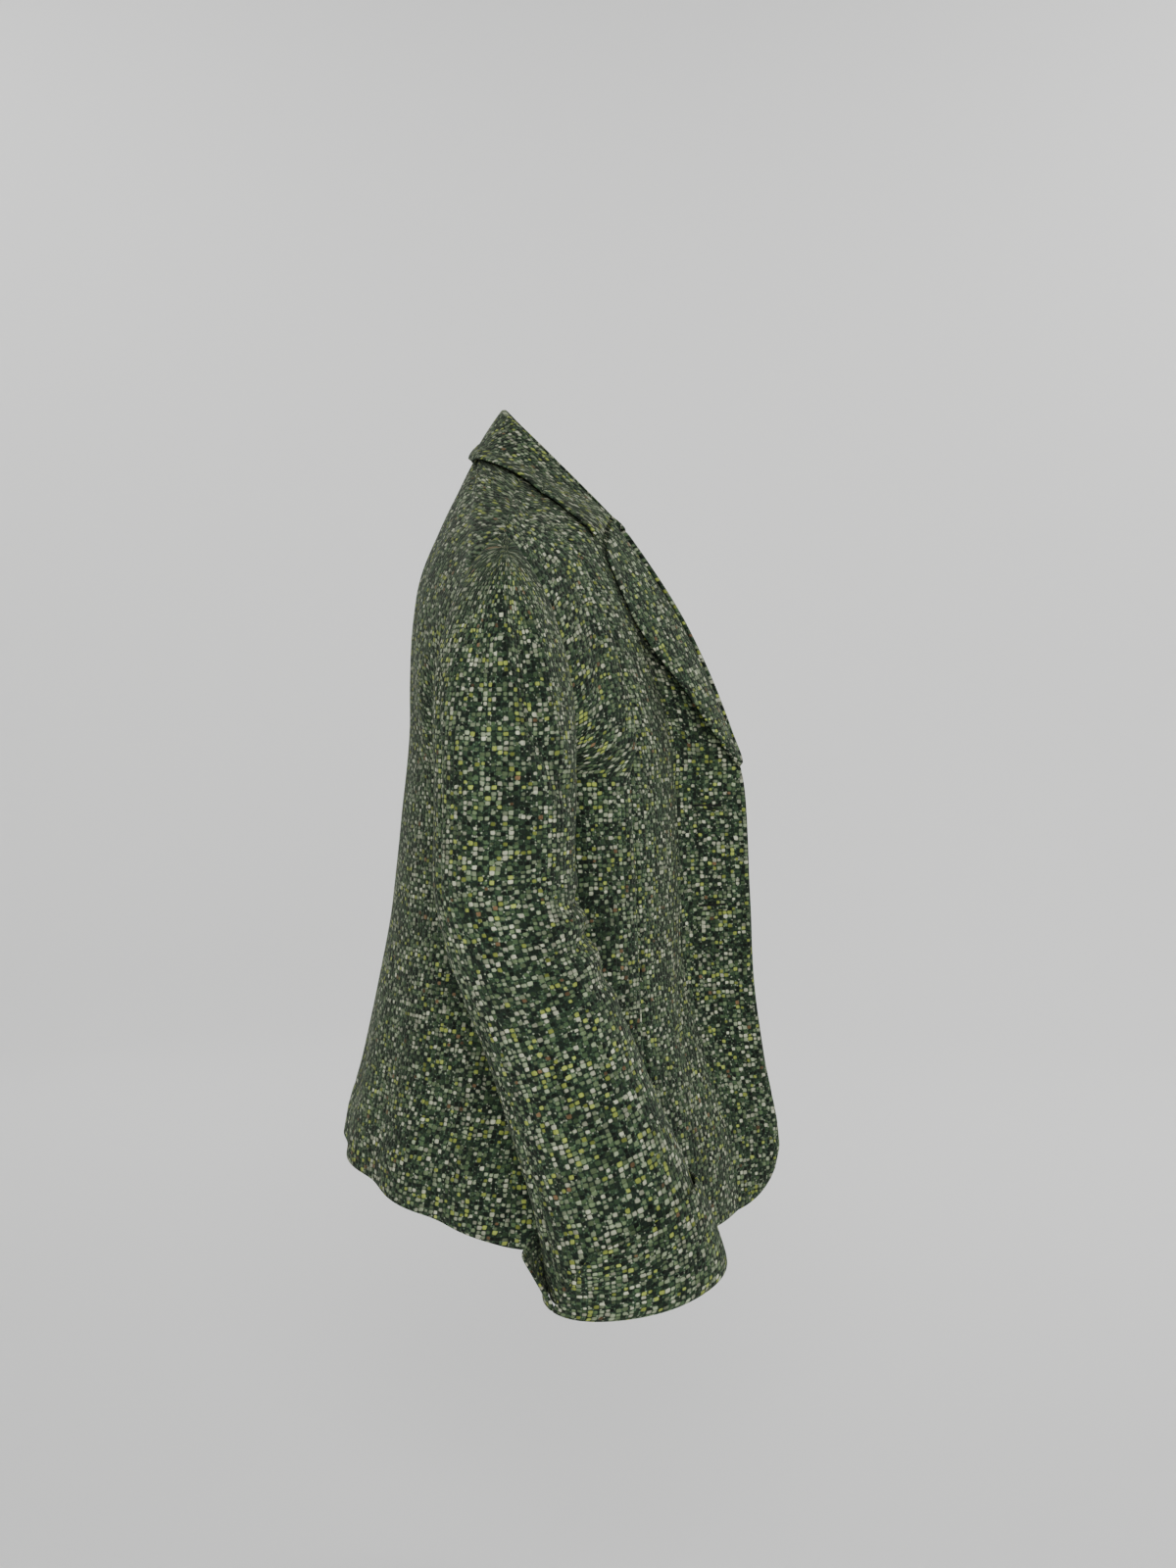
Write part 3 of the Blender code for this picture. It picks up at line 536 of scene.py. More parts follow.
def from_edge(grid, edge):
    """How far each point is from an edge of the grid, along the cloth."""
    if edge in ("top", "bottom"):
        step = np.linalg.norm(np.diff(grid, axis=0), axis=-1)
        step = step if edge == "top" else step[::-1]
        far = np.concatenate([np.zeros((1, grid.shape[1])), step.cumsum(axis=0)])
        return far if edge == "top" else far[::-1]
    step = np.linalg.norm(np.diff(grid, axis=1), axis=-1)
    step = step if edge == "left" else step[:, ::-1]
    far = np.concatenate([np.zeros((grid.shape[0], 1)), step.cumsum(axis=1)], axis=1)
    return far if edge == "left" else far[:, ::-1]


def rolled(grid, normal, seams=(), edges=()):
    """The outer face, turned down into its seams and rounded at its free edges."""
    down = np.zeros(grid.shape[:2])
    for names, roll in ((seams, SEAM_ROLL), (edges, EDGE_ROLL)):
        for name in names:
            near = np.exp(-((from_edge(grid, name) / roll["reach"]) ** 2))
            down = np.maximum(down, roll["depth"] * near)
    return grid - normal * down[..., None]


def grain(grid, offset, down=None, level=True):
    """Places on the weave in metres: across the cloth, and down it along the hang of the thread."""
    step = np.diff(grid, axis=1) * ((1, 1, 0) if level else (1, 1, 1))
    across = np.linalg.norm(step, axis=-1).cumsum(axis=1)
    across = np.concatenate([np.zeros((grid.shape[0], 1)), across], axis=1)
    across = across - across[:, across.shape[1] // 2][:, None]
    down = grid[..., 2] if down is None else down
    return np.stack([across + offset, down + offset * 0.37], axis=-1) * MM


def hang(grid, row, along=(1, 1, 1)):
    """The height of each point on the weave, by its length along the cloth from one level row."""
    step = np.linalg.norm(np.diff(grid, axis=0) * along, axis=-1)
    length = np.concatenate([np.zeros((1, grid.shape[1])), step.cumsum(axis=0)])
    return grid[row, :, 2] - (length - length[row])


def sleeve_grain(grid, w, s, offset):
    """The weave on a sleeve: it hangs plumb over the cap and follows the arm below."""
    rings = np.linspace(0, 6, 121)
    row = read(SLEEVE, rings)
    middle = np.stack([row["x"], row["y"], row["z"]], axis=-1)
    length = np.append(0, np.linalg.norm(np.diff(middle, axis=0), axis=-1).cumsum())
    below = -np.interp(np.clip(s - 1, 0, 6), rings, length)
    first = int((s[:, 0] < 1).sum())
    out, front = arm_axes(np.zeros(1))
    spoke = grid - middle[0]
    turn = np.arctan2((spoke * front).sum(axis=-1), (spoke * out).sum(axis=-1))
    turn = turn + 2 * math.pi * np.round(w - turn / (2 * math.pi))
    settle = np.clip(s, 0, 1) ** 3
    turn = turn + (2 * math.pi * w - turn) * settle
    radius = np.interp(np.clip(s - 1, 0, 6), rings, (row["deep"] + row["wide"]) / 2)
    down = np.where(s < 1, grid[..., 2] - grid[first, :, 2], below)
    return np.stack([turn * radius + offset, down + offset * 0.37], axis=-1) * MM


SHEETS = []
SMALLEST_CUT = 0.01
SMALLEST_SHARE = 0.301


def add_mesh(name, points, faces, mat):
    """A smooth mesh object, from points in millimetres."""
    mesh = bpy.data.meshes.new(name)
    mesh.from_pydata((np.asarray(points) * MM).tolist(), [], faces)
    mesh.materials.append(mat)
    mesh.shade_smooth()
    obj = bpy.data.objects.new(name, mesh)
    bpy.context.scene.collection.objects.link(obj)
    return obj


def shell_rim(middle, ring):
    """The points of a rounded rim, a little beyond the edge of the cloth's middle."""
    rows, cols = middle.shape[:2]
    rim = []
    for r, c in ring:
        inside = middle[min(max(r, 1), rows - 2), min(max(c, 1), cols - 2)]
        rim.append(middle[r, c] + unit(middle[r, c] - inside) * RIM_ROUND)
    return np.array(rim)


def shell(node, outer, inner, weave, mat, held, rests_on, side=None):
    """A closed shell of cloth between two grids of points, with a rounded rim."""
    rows, cols = outer.shape[:2]
    ring = [(0, c) for c in range(cols)]
    ring += [(r, cols - 1) for r in range(1, rows)]
    ring += [(rows - 1, c) for c in range(cols - 2, -1, -1)]
    ring += [(r, 0) for r in range(rows - 2, 0, -1)]
    rim = shell_rim((outer + inner) / 2, ring)
    points = np.concatenate([outer.reshape(-1, 3), inner.reshape(-1, 3), rim])
    if side is not None:
        points = handed(points, side)
    size = rows * cols
    index = np.arange(size).reshape(rows, cols)
    quads = np.stack([index[:-1, :-1], index[1:, :-1], index[1:, 1:], index[:-1, 1:]], axis=-1)
    quads = quads.reshape(-1, 4)
    faces = quads.tolist() + (quads[:, ::-1] + size).tolist()
    edge = [r * cols + c for r, c in ring]
    for k, a in enumerate(edge):
        following = (k + 1) % len(edge)
        b = edge[following]
        this_rim, next_rim = 2 * size + k, 2 * size + following
        faces.append((a, b, next_rim, this_rim))
        faces.append((this_rim, next_rim, b + size, a + size))
    corners = points[np.array([face[:3] for face in faces])]
    spread = np.cross(corners[:, 1], corners[:, 2])
    if np.einsum("ij,ij->i", corners[:, 0], spread).sum() < 0:
        faces = [tuple(face)[::-1] for face in faces]
    obj = add_mesh(node + "_cloth", points, faces, mat)
    mesh = obj.data
    place = weave.reshape(-1, 2)
    place = np.concatenate([place, place, place[edge]])
    loops = np.empty(len(mesh.loops), np.int32)
    mesh.loops.foreach_get("vertex_index", loops)
    layer = mesh.uv_layers.new(name="weave")
    layer.data.foreach_set("uv", place[loops].ravel())
    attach(obj, "root")
    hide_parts(node)
    width = from_edge(outer, "left")[:, -1].max() * MM
    length = from_edge(outer, "top")[-1].max() * MM
    first, second = outer[1:, 1:] - outer[:-1, :-1], outer[1:, :-1] - outer[:-1, 1:]
    area = np.linalg.norm(np.cross(first, second), axis=-1).sum() / 2 * MM * MM
    SHEETS.append((obj, width, length, min(area, width * length), held, rests_on))


def armhole_normal(table, own, levels):
    w = armhole_fraction(table, levels)
    return mitre(own, grid_normal(sleeve_point, w, np.zeros(w.shape)))


def calmed(grid, edges):
    """How freely the cloth creases: less near each named edge, within its reach."""
    calm = np.ones(grid.shape[:2])
    for edge, reach in edges.items():
        calm = calm * (1 - np.exp(-((from_edge(grid, edge) / reach) ** 2)))
    return calm[..., None]


def turned_up(grid, normal):
    """A faint line where the hem's turning ends inside."""
    far = from_edge(grid, "bottom")
    line = np.exp(-(((far - TURN_UP["height"]) / TURN_UP["reach"]) ** 2))
    return grid - normal * (TURN_UP["depth"] * line)[..., None]


def make_body(tweed):
    count = int((ROWS < UNDERARM).sum())
    seam = np.append(princess(ROWS), [princess(LAST_LEVEL)] * HEM_ROWS)[:, None]
    edge = {}
    for name, table in (("front", FRONT), ("back", BACK)):
        u, t, _ = body_grid(table, np.array([1.0]), ROWS, HEM_ROWS)
        edge[name] = body_normal(table, u[:, 0], t[:, 0])
    across = {name: np.linspace(0, 1, cols) for name, cols in COLS.items()}
    across["front"] = seam * across["front"]
    across["side_front"] = seam + (1 - seam) * across["side_front"]
    panels = (
        ("front", FRONT, ("top", "right"), ("left",), FRONT_FOLDS),
        ("side_front", FRONT, ("top", "left", "right"), (), FRONT_FOLDS),
        ("back", BACK, ("top", "left", "right"), (), BACK_FOLDS),
    )
    for offset, (name, table, seams, edges, folds) in enumerate(panels):
        u, t, grid = body_grid(table, across[name], ROWS, HEM_ROWS)
        normal = body_normal(table, u, t)
        other = BACK if table is FRONT else FRONT
        normal[0] = mitre(normal[0], body_normal(other, u[0], t[0]))
        if name != "front":
            own = normal[:, -1]
            met = edge["back" if table is FRONT else "front"]
            high = armhole_normal(table, own[:count], ROWS[:count])
            normal[:, -1] = np.concatenate([high, mitre(own[count:], met[count:])])
        if name == "back":
            on_centre = t[:, 0] > BACK_NECK - 1e-6
            normal[on_centre, 0] = unit(normal[on_centre, 0] * (0, 1, 1))
        weave = grain(grid, WEAVE_APART * offset, hang(grid, count, (0, 1, 1)))
        grid = pull_in(grid, seams)

        def surface(u, level, table=table):
            return body_point(table, u, level)

        # The seams with other pieces stay where they are, so the creases fade out near them.
        calm = calmed(grid, {"top": 14.0} if name == "front" else {"top": 14.0, "right": 14.0})
        moved = rippled(creased(grid, normal, folds, surface), normal)
        grid = grid + (moved - grid) * calm
        outer = rolled(turned_up(grid, normal), normal, seams, edges + ("bottom",))
        inner = grid - normal * WALL
        for side in SIDES:
            rests = [f"front_{side}"] if name == "side_front" else ["collar_stand"]
            shell(f"{name}_{side}", outer, inner, weave, tweed, "hung", rests, side)


def make_sleeves(tweed):
    seam_front = armhole_fraction(FRONT, SLEEVE_SEAMS["front"])
    seam_back = armhole_fraction(BACK, SLEEVE_SEAMS["back"])
    levels = np.linspace(0, UNDERARM, 80)
    pieces = (
        ("sleeve_upper", np.linspace(seam_back - 1, seam_front, 64)),
        ("sleeve_under", np.linspace(seam_front, seam_back, 40)),
    )
    for offset, (piece, w) in enumerate(pieces):
        w, down = np.meshgrid(w, SLEEVE_ROWS)
        grid = sleeve_point(w, down)
        normal = grid_normal(sleeve_point, w, down)
        in_front = np.mod(w[0], 1) <= 0.5
        for table, half in ((FRONT, in_front), (BACK, ~in_front)):
            known = armhole_fraction(table, levels)
            order = np.argsort(known)
            t = np.interp(np.mod(w[0], 1), known[order], levels[order])
            body = body_normal(table, np.ones(t.shape), t)
            normal[0] = np.where(half[:, None], mitre(normal[0], body), normal[0])
        weave = sleeve_grain(grid, w, down, WEAVE_APART * (offset + 4))
        grid = pull_in(grid, ("top", "left", "right"))
        calm = calmed(grid, {"top": 12.0, "bottom": 25.0})
        moved = rippled(creased(grid, normal, SLEEVE_FOLDS, sleeve_point), normal)
        grid = grid + (moved - grid) * calm
        outer = rolled(grid, normal, ("top", "left", "right"))
        inner = grid - normal * WALL
        for side in SIDES:
            hangs = [f"side_front_{side}", f"back_{side}"]
            shell(f"{piece}_{side}", outer, inner, weave, tweed, "hung", hangs, side)


def make_cuffs(tweed):
    w, r = np.meshgrid(np.linspace(0, 1, 110), np.linspace(0, 3, 28))
    grid = cuff_point(w, r)
    step = 1e-3
    dw = cuff_point(w + step, r) - cuff_point(w - step, r)
    dr = cuff_point(w, np.minimum(r + step, 3)) - cuff_point(w, np.maximum(r - step, 0))
    normal = unit(np.cross(dr, dw))
    weave = grain(grid, 7 * WEAVE_APART, -from_edge(grid, "top"), level=False)
    outer = rolled(rippled(grid, normal, CUFF_RIPPLE), normal, (), ALL_EDGES)
    inner = grid - normal * WALL
    for side in SIDES:
        wraps = [f"sleeve_upper_{side}", f"sleeve_under_{side}"]
        shell(f"cuff_{side}", outer, inner, weave, tweed, "folded", wraps, side)


def turned_rows(line, edge, past, away, turn, full, rows):
    """Rows of cloth that turn over a line and fall to an edge, with a soft belly between."""
    turned = [line + past * step + away * lift for step, lift in turn]
    for r in rows:
        belly = math.sin(math.pi * r) * full["belly"] + full["fold"] * (1 - r)
        turned.append(line + (edge - line) * r + away * belly)
    return clear_of_body(np.array(turned), full["clear"], np.s_[len(turn) :])


def make_collar(tweed):
    seam, fold, _ = collar_curves(np.linspace(-STAND_END, STAND_END, 91))
    rise = np.linspace(0, 1, 12)[:, None, None]
    stand = seam + (fold - seam) * rise
    out = strip_normal(stand, NECK_MIDDLE)
    stand = stand + unit(fold - seam) * STAND_INSET * (1 - 2 * rise)
    weave = grain(stand, 8 * WEAVE_APART, -from_edge(stand, "top"), level=False)
    outer = rolled(stand, out, ("top",), ("bottom", "left", "right"))
    backs = ["back_right", "back_left"]
    shell("collar_stand", outer, stand - out * WALL, weave, tweed, "folded", backs)
    q = np.linspace(-1, 1, 121)
    seam, fold, fall = collar_curves(q)
    inner, top, _ = collar_curves(np.clip(q, -STAND_END, STAND_END))
    away = strip_normal(np.stack([inner, top]), NECK_MIDDLE)[-1]
    rows = np.linspace(0.06, 1.0, 19)
    under = turned_rows(fold, fall, unit(top - inner), away, COLLAR_TURN, COLLAR_FULL, rows)
    out = strip_normal(under, NECK_MIDDLE)
    under = smoothed(under, 3)
    weave = grain(under, 9 * WEAVE_APART, -from_edge(under, "top"), level=False)
    outer = rolled(under + out * WALL, out, (), ALL_EDGES)
    shell("collar_fall", outer, under, weave, tweed, "folded", ["collar_stand"])


def smoothed(grid, times):
    """The grid with its inner points drawn towards their neighbours."""
    grid = grid.copy()
    for _ in range(times):
        around = (grid[:-2, 1:-1] + grid[2:, 1:-1] + grid[1:-1, :-2] + grid[1:-1, 2:]) / 4
        grid[1:-1, 1:-1] += (around - grid[1:-1, 1:-1]) * 0.5
        grid[-1, 1:-1] += ((grid[-1, :-2] + grid[-1, 2:]) / 2 - grid[-1, 1:-1]) * 0.5
    return grid


def make_lapels(tweed):
    t = np.linspace(LAPEL["t"][0], LAPEL["t"][-1], 71)
    edge = read(LAPEL, t)
    edge = np.stack([edge["x"], edge["y"], edge["z"]], axis=-1)
    roll = level_point(FRONT, 0.0, t)
    out = body_normal(FRONT, np.full(t.shape, 0.004), t)
    past = -unit(level_point(FRONT, 0.03, t) - roll)
    rows = np.linspace(0.07, 1.0, 18)
    under = turned_rows(roll, edge, past, out, LAPEL_TURN, LAPEL_FULL, rows)
    normal = strip_normal(under, CHEST_MIDDLE)
    under = smoothed(under, 3)
    weave = grain(under, 10 * WEAVE_APART, -from_edge(under, "top"), level=False)
    outer = rolled(under + normal * WALL, normal, (), ALL_EDGES)
    for side in SIDES:
        shell(f"lapel_{side}", outer, under, weave, tweed, "folded", [f"front_{side}"], side)


def make_buttonholes(tweed, dark):
    """Two bound lips at each hole, on the right front, with a near-black sheet of painted shade for
    the slit between them.
    """
    across_lip = np.linspace(0, 1, 7)
    swell = np.sin(math.pi * across_lip)[:, None] * LIP["swell"]
    ends = np.sin(math.pi * np.clip(np.linspace(0, 1, LIP_COLS), 0.03, 0.97)) ** 0.2
    for hole, z in HOLES.items():
        length = level_length(FRONT, level_at(z))
        u = (HOLE_FROM_EDGE + np.linspace(0, HOLE_LENGTH, LIP_COLS)) / length
        for lip, sign in (("top", 1), ("bottom", -1)):
            near = z + sign * LIP["slit"] / 2
            level = np.array([level_at(near + sign * LIP["height"] * k) for k in across_lip])
            u_grid, t_grid = np.meshgrid(u, level)
            grid = level_point(FRONT, u_grid, t_grid)
            normal = body_normal(FRONT, u_grid, t_grid)
            outer = grid + normal * ((LIP["rise"] + swell) * ends)[..., None]
            inner = grid + normal * LIP["base"]
            weave = grain(grid, 11 * WEAVE_APART)
            node = f"lip_{hole}_{lip}"
            shell(node, outer, inner, weave, tweed, "folded", ["front_right"], "right")
        # The slit is a near-black sheet just off the cloth: painted shade for the gap between the
        # lips.
        level = np.array([level_at(z + d) for d in (SLIT_REACH, -SLIT_REACH)])
        u_grid, t_grid = np.meshgrid(u[1:-1], level)
        normal = body_normal(FRONT, u_grid, t_grid)
        grid = handed(level_point(FRONT, u_grid, t_grid) + normal * SLIT_LIFT, "right")
        cols = grid.shape[1]
        faces = [(c, c + 1, cols + c + 1, cols + c) for c in range(cols - 1)]
        slit = add_mesh(f"slit_{hole}", grid.reshape(-1, 3), faces, dark)
        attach(slit, "root")


def make_buttons(horn, thread):
    """A turned four-hole button for each hole, on the left front's outer face."""
    for hole, z in HOLES.items():
        t = level_at(z)
        u = HOLE_FROM_EDGE / level_length(FRONT, t)
        seat = handed(level_point(FRONT, u, t), "left")
        axis = handed(body_normal(FRONT, np.array(u), np.array(t)), "left")
        side = unit(np.cross(axis, (0, 0, 1.0)))
        up = np.cross(side, axis)
        points, faces = [], []
        n = len(BUTTON_SECTION)
        for k in range(BUTTON_TURNS):
            angle = 2 * math.pi * k / BUTTON_TURNS
            spoke = side * math.cos(angle) + up * math.sin(angle)
            points += [seat + spoke * max(r, 1e-3) + axis * h for r, h in BUTTON_SECTION]
            a, b = k * n, (k + 1) % BUTTON_TURNS * n
            faces += [(a + j, a + j + 1, b + j + 1, b + j) for j in range(n - 1)]
        disc = add_mesh(f"button_{hole}_disc", points, faces, horn)
        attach(disc, "root")
        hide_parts(f"button_{hole}")
        make_stitches(hole, seat, axis, side, up, thread)


def make_stitches(hole, seat, axis, side, up, thread):
    """The thread through a button's four holes, in two bars."""
    points, faces = [], []
    sides, steps = 10, 14
    for bar in (-1, 1):
        base = len(points)
        for j in range(steps):
            a = math.pi * j / (steps - 1)
            centre = seat + side * bar * THREAD["apart"] + up * THREAD["reach"] * math.cos(a)
            centre = centre + axis * (THREAD["low"] + THREAD["arch"] * math.sin(a))
            for k in range(sides):
                b = 2 * math.pi * k / sides
                spoke = side * math.cos(b) + axis * math.sin(b) * THREAD["flat"]
                points.append(centre + spoke * THREAD["radius"])
        for j in range(steps - 1):
            a, b = base + j * sides, base + (j + 1) * sides
            for k in range(sides):
                m = (k + 1) % sides
                faces.append((a + k, a + m, b + m, b + k))
    bars = add_mesh(f"button_{hole}_thread", points, faces, thread)
    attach(bars, "root")


class Nodes:
    """Short names for building a material's nodes."""

    def __init__(self, name):
        self.mat = bpy.data.materials.new(name)
        self.mat.use_nodes = True
        self.tree = self.mat.node_tree
        self.shader = self.tree.nodes["Principled BSDF"]

    def add(self, kind, inputs=None, **settings):
        node = self.tree.nodes.new(kind)
        for key, value in settings.items():
            setattr(node, key, value)
        for key, value in (inputs or {}).items():
            self.put(node.inputs[key], value)
        return node

    def put(self, socket, value):
        if isinstance(value, bpy.types.NodeSocket):
            self.tree.links.new(value, socket)
        else:
            socket.default_value = value

    def math(self, operation, *values, clamp=False):
        node = self.add("ShaderNodeMath", operation=operation, use_clamp=clamp)
        for socket, value in zip(node.inputs, values):
            self.put(socket, value)
        return node.outputs[0]

    def vector(self, operation, one, other):
        node = self.add("ShaderNodeVectorMath", {0: one}, operation=operation)
        self.put(node.inputs["Scale" if operation == "SCALE" else 1], other)
        return node.outputs[0]

    def scaled(self, vector, scale):
        return self.add("ShaderNodeMapping", {"Vector": vector, "Scale": scale}).outputs[0]

    def grey(self, value):
        found = dict.fromkeys(range(3), value)
        return self.add("ShaderNodeCombineColor", found).outputs[0]

    def cells(self, vector, size, spread, distance="EUCLIDEAN"):
        """Cells of about the size given, with their middles spread from an even grid."""
        found = {"Vector": vector, "Scale": 1 / size, "Randomness": spread}
        settings = {"voronoi_dimensions": "2D", "feature": "F1", "distance": distance}
        return self.add("ShaderNodeTexVoronoi", found, **settings)

    def bump(self, height, strength, distance):
        found = {"Height": height, "Strength": strength, "Distance": distance}
        self.look("Normal", self.add("ShaderNodeBump", found).outputs[0])

    def look(self, name, value):
        self.put(self.shader.inputs[name], value)

    def mix(self, factor, one, other, blend="MIX"):
        node = self.add("ShaderNodeMix", data_type="RGBA", blend_type=blend)
        self.put(node.inputs[0], factor)
        self.put(node.inputs[6], one)
        self.put(node.inputs[7], other)
        return node.outputs[2]

    def ramp(self, factor, stops, kind="LINEAR"):
        node = self.add("ShaderNodeValToRGB", {"Fac": factor})
        node.color_ramp.interpolation = kind
        band = node.color_ramp.elements
        while len(band) < len(stops):
            band.new(0.5)
        for element, (place, colour) in zip(band, stops):
            element.position = place
            element.color = (*colour, 1.0)
        return node.outputs[0]

    def noise(self, vector, scale, detail=2.0, rough=0.5):
        found = {"Vector": vector, "Scale": scale, "Detail": detail, "Roughness": rough}
        return self.add("ShaderNodeTexNoise", found)


# The tweed's yarns, each from its share of the slubs to the next one's. Sizes are in metres.
PITCH = 0.0039
YARNS = (
    (0.00, (0.010, 0.016, 0.010)),
    (0.22, (0.026, 0.048, 0.024)),
    (0.38, (0.060, 0.100, 0.046)),
    (0.50, (0.130, 0.180, 0.090)),
    (0.64, (0.270, 0.320, 0.200)),
    (0.78, (0.470, 0.490, 0.350)),
    (0.90, (0.300, 0.360, 0.075)),
    (0.985, (0.160, 0.100, 0.050)),
)
FLECKS = (
    (0.00, (0.010, 0.018, 0.012)),
    (0.45, (0.040, 0.075, 0.040)),
    (0.72, (0.100, 0.160, 0.090)),
    (0.90, (0.340, 0.380, 0.270)),
)
GROUND = (0.010, 0.018, 0.012, 1.0)
SLUB = {"flat": 1.2, "spread": 0.38, "square": 3.2, "least": 0.38, "more": 0.18, "crisp": 5.0}
FLECK = {"size": PITCH / 2.4, "spread": 0.9, "crisp": 1.5}
WANDER = {"scale": 90.0, "far": 0.0022}
TWEED_RELIEF = {"edge": 1.6, "fibre": 0.7, "fleck": 0.4, "strength": 0.7, "distance": 0.0008}
SHEEN_TINT = (0.52, 0.56, 0.42, 1.0)


def tweed_material():
    """Coarse nubby tweed: slubs over finer flecks on a dark ground, in columns of warp."""
    n = Nodes("woven_tweed")
    uv = n.add("ShaderNodeUVMap", uv_map="weave").outputs[0]
    wander = n.noise(uv, WANDER["scale"]).outputs["Color"]
    wander = n.vector("SCALE", n.vector("SUBTRACT", wander, (0.5, 0.5, 0.5)), WANDER["far"])
    place = n.vector("ADD", uv, wander)

    flat = n.scaled(place, (1.0, SLUB["flat"], 1.0))
    slub = n.cells(flat, PITCH, SLUB["spread"], "MINKOWSKI")
    slub.inputs["Exponent"].default_value = SLUB["square"]
    lot = n.add("ShaderNodeSeparateColor", {"Color": slub.outputs["Color"]}).outputs
    tone = n.math("MULTIPLY_ADD", lot[1], 0.75, 0.38)
    yarn = n.mix(1.0, n.ramp(lot[0], YARNS, "CONSTANT"), n.grey(tone), "MULTIPLY")
    size = n.math("MULTIPLY_ADD", lot[2], SLUB["more"], SLUB["least"])
    edge = n.math("SUBTRACT", size, slub.outputs["Distance"])
    body = n.math("MULTIPLY", edge, SLUB["crisp"], clamp=True)

    fleck = n.cells(place, FLECK["size"], FLECK["spread"])
    kind = n.add("ShaderNodeSeparateColor", {"Color": fleck.outputs["Color"]}).outputs[0]
    fade = n.math("MULTIPLY", fleck.outputs["Distance"], FLECK["crisp"], clamp=True)
    under = n.mix(fade, n.ramp(kind, FLECKS, "CONSTANT"), GROUND)

    warp = n.noise(n.scaled(uv, (150.0, 9.0, 1.0)), 1.0).outputs[0]
    warp = n.math("MULTIPLY_ADD", warp, 1.3, 0.36)
    broad = n.math("MULTIPLY_ADD", n.noise(uv, 14.0, 3.0).outputs[0], 0.5, 0.75)
    fibre = n.noise(place, 1500.0, 3.0, 0.6).outputs[0]
    light = n.math("MULTIPLY", warp, broad)
    light = n.math("MULTIPLY", light, n.math("MULTIPLY_ADD", fibre, 0.9, 0.55))
    n.look("Base Color", n.mix(1.0, n.mix(body, under, yarn), n.grey(light), "MULTIPLY"))

    relief = TWEED_RELIEF
    height = n.math("ADD", body, n.math("MULTIPLY", edge, relief["edge"]))
    height = n.math("ADD", height, n.math("MULTIPLY", fibre, relief["fibre"]))
    low = n.math("MULTIPLY", fleck.outputs["Distance"], relief["fleck"])
    n.bump(n.math("SUBTRACT", height, low), relief["strength"], relief["distance"])
    n.look("Roughness", 0.92)
    n.look("Specular IOR Level", 0.18)
    n.look("Sheen Weight", 0.11)
    n.look("Sheen Roughness", 0.42)
    n.look("Sheen Tint", SHEEN_TINT)
    return n.mat


HORN = (
    (0.30, (0.008, 0.007, 0.006)),
    (0.55, (0.028, 0.022, 0.016)),
    (0.75, (0.070, 0.055, 0.035)),
)
THREAD_GREEN = ((0.3, (0.02, 0.035, 0.02)), (0.7, (0.07, 0.10, 0.06)))
# Near-black colours of painted shade, for the gap in each buttonhole's slit.
SLIT_PAINTED_SHADE = ((0.3, (0.001, 0.0015, 0.001)), (0.8, (0.004, 0.006, 0.004)))


def horn_material():
    n = Nodes("dark_horn_grain")
    where = n.add("ShaderNodeTexCoord").outputs["Object"]
    streaks = n.noise(n.scaled(where, (90.0, 90.0, 420.0)), 1.0, 4.0, 0.6).outputs[0]
    n.look("Base Color", n.ramp(streaks, HORN))
    n.look("Roughness", n.math("MULTIPLY_ADD", streaks, 0.2, 0.2))
    n.bump(streaks, 0.15, 0.0003)
    return n.mat


def fuzzy_material(name, scale, colours, roughness):
    """A plain matt thread or cloth, or a sheet of painted shade, with a fine grain between its two
    colours.
    """
    n = Nodes(name)
    where = n.add("ShaderNodeTexCoord").outputs["Object"]
    n.look("Base Color", n.ramp(n.noise(where, scale).outputs[0], colours))
    n.look("Roughness", roughness)
    return n.mat


# The studio's floor and wall, in millimetres, and its lights: place, aim, size and power.
STAGE = {"floor": -950.0, "radius": 3400.0, "fillet": 900.0, "height": 3200.0}
STAGE_PAINT = (0.90, 0.90, 0.89, 1)


def make_stage():
    """A plain pale floor that turns up into a wall all round."""
    floor, radius, fillet = STAGE["floor"], STAGE["radius"], STAGE["fillet"]
    profile = [(0.0, floor)]
    for a in np.linspace(0, math.pi / 2, 17):
        rise = fillet * (1 - math.cos(a))
        profile.append((radius - fillet + fillet * math.sin(a), floor + rise))
    profile.append((radius, floor + STAGE["height"]))
    turns, n = 96, len(profile)
    points, faces = [], []
    for k in range(turns):
        angle = 2 * math.pi * k / turns
        points += [(r * math.cos(angle), r * math.sin(angle), z) for r, z in profile]
        a, b = k * n, (k + 1) % turns * n
        faces += [(a + j, b + j, b + j + 1, a + j + 1) for j in range(n - 1)]
    paint = Nodes("studio_paint")
    paint.look("Base Color", STAGE_PAINT)
    paint.look("Roughness", 0.9)
    add_mesh("studio", points, faces, paint.mat)


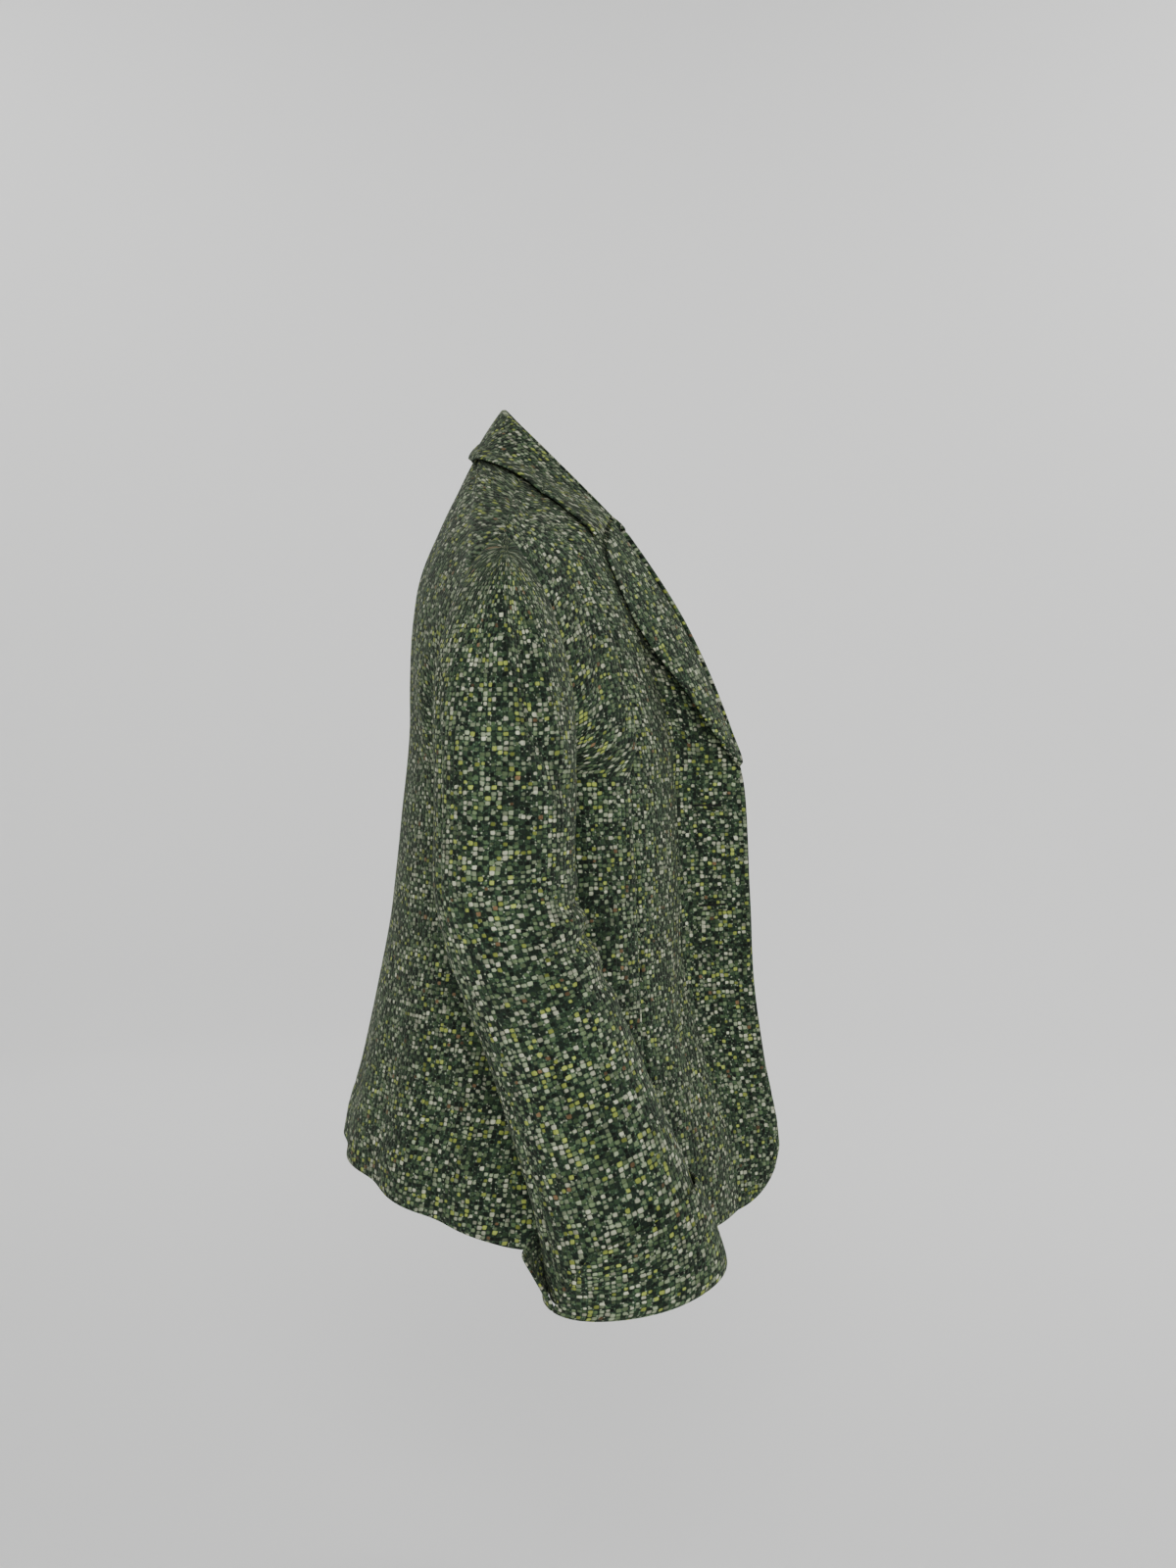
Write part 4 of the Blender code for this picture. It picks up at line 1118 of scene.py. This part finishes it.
LIGHTS = (
    ("key", (-2.2, -0.4, 0.5), (0, 0, -0.3), 1.3, 47.0),
    ("fill", (-1.2, 1.9, 0.5), (0, 0, -0.3), 2.0, 2.0),
    ("top", (0.2, 0.0, 2.1), (0, 0, -0.3), 1.6, 2.0),
    ("back", (1.8, 1.2, 0.7), (0, 0, -0.3), 1.6, 6.5),
    ("front", (1.2, -2.0, 0.3), (0, 0, -0.3), 1.6, 9.0),
    ("wall_left", (1.3, 1.6, 1.7), (3.4, 0.6, -0.2), 1.0, 19.0),
    ("wall_right", (1.3, -1.6, 1.7), (3.4, -0.6, -0.2), 1.0, 36.0),
)
WORLD = {"colour": (0.9, 0.93, 1.0, 1), "strength": 0.155}
TURN = math.radians(8)
CAMERA_AWAY, CAMERA_RIGHT, CAMERA_UP = 1.35, 0.048, -0.165
LENS, SENSOR, SHIFT = 38.25, 36.0, -0.0625


def make_lights():
    for name, place, aim, size, power in LIGHTS:
        data = bpy.data.lights.new(name, "AREA")
        data.shape, data.size, data.energy = "DISK", size, power
        obj = bpy.data.objects.new(name, data)
        obj.location = place
        obj.rotation_euler = (Vector(aim) - Vector(place)).to_track_quat("-Z", "Y").to_euler()
        obj.visible_camera = False
        bpy.context.scene.collection.objects.link(obj)
    world = bpy.data.worlds.new("studio_air")
    world.use_nodes = True
    air = world.node_tree.nodes["Background"]
    air.inputs["Color"].default_value = WORLD["colour"]
    air.inputs["Strength"].default_value = WORLD["strength"]
    bpy.context.scene.world = world


def make_camera():
    look = Vector((math.cos(TURN), math.sin(TURN), 0))
    right = Vector((math.sin(TURN), -math.cos(TURN), 0))
    data = bpy.data.cameras.new("camera")
    data.lens, data.sensor_width, data.shift_y = LENS, SENSOR, SHIFT
    obj = bpy.data.objects.new("camera", data)
    obj.location = look * -CAMERA_AWAY + right * CAMERA_RIGHT + Vector((0, 0, CAMERA_UP))
    obj.rotation_euler = look.to_track_quat("-Z", "Y").to_euler()
    bpy.context.scene.collection.objects.link(obj)
    bpy.context.scene.camera = obj


def declare_sheets():
    for obj, width, length, area, held, rests_on in SHEETS:
        flat = (round(width, 3) + 0.001, max(round(length, 3) + 0.001, SMALLEST_CUT))
        area = max(area, SMALLEST_SHARE * flat[0] * flat[1])


def main():
    tweed = tweed_material()
    make_body(tweed)
    make_sleeves(tweed)
    make_cuffs(tweed)
    make_collar(tweed)
    make_lapels(tweed)
    make_buttonholes(tweed, fuzzy_material("slit_shadow", 900.0, SLIT_PAINTED_SHADE, 1.0))
    make_buttons(horn_material(), fuzzy_material("button_thread", 2200.0, THREAD_GREEN, 0.8))
    declare_sheets()
    make_stage()
    make_lights()
    make_camera()


main()
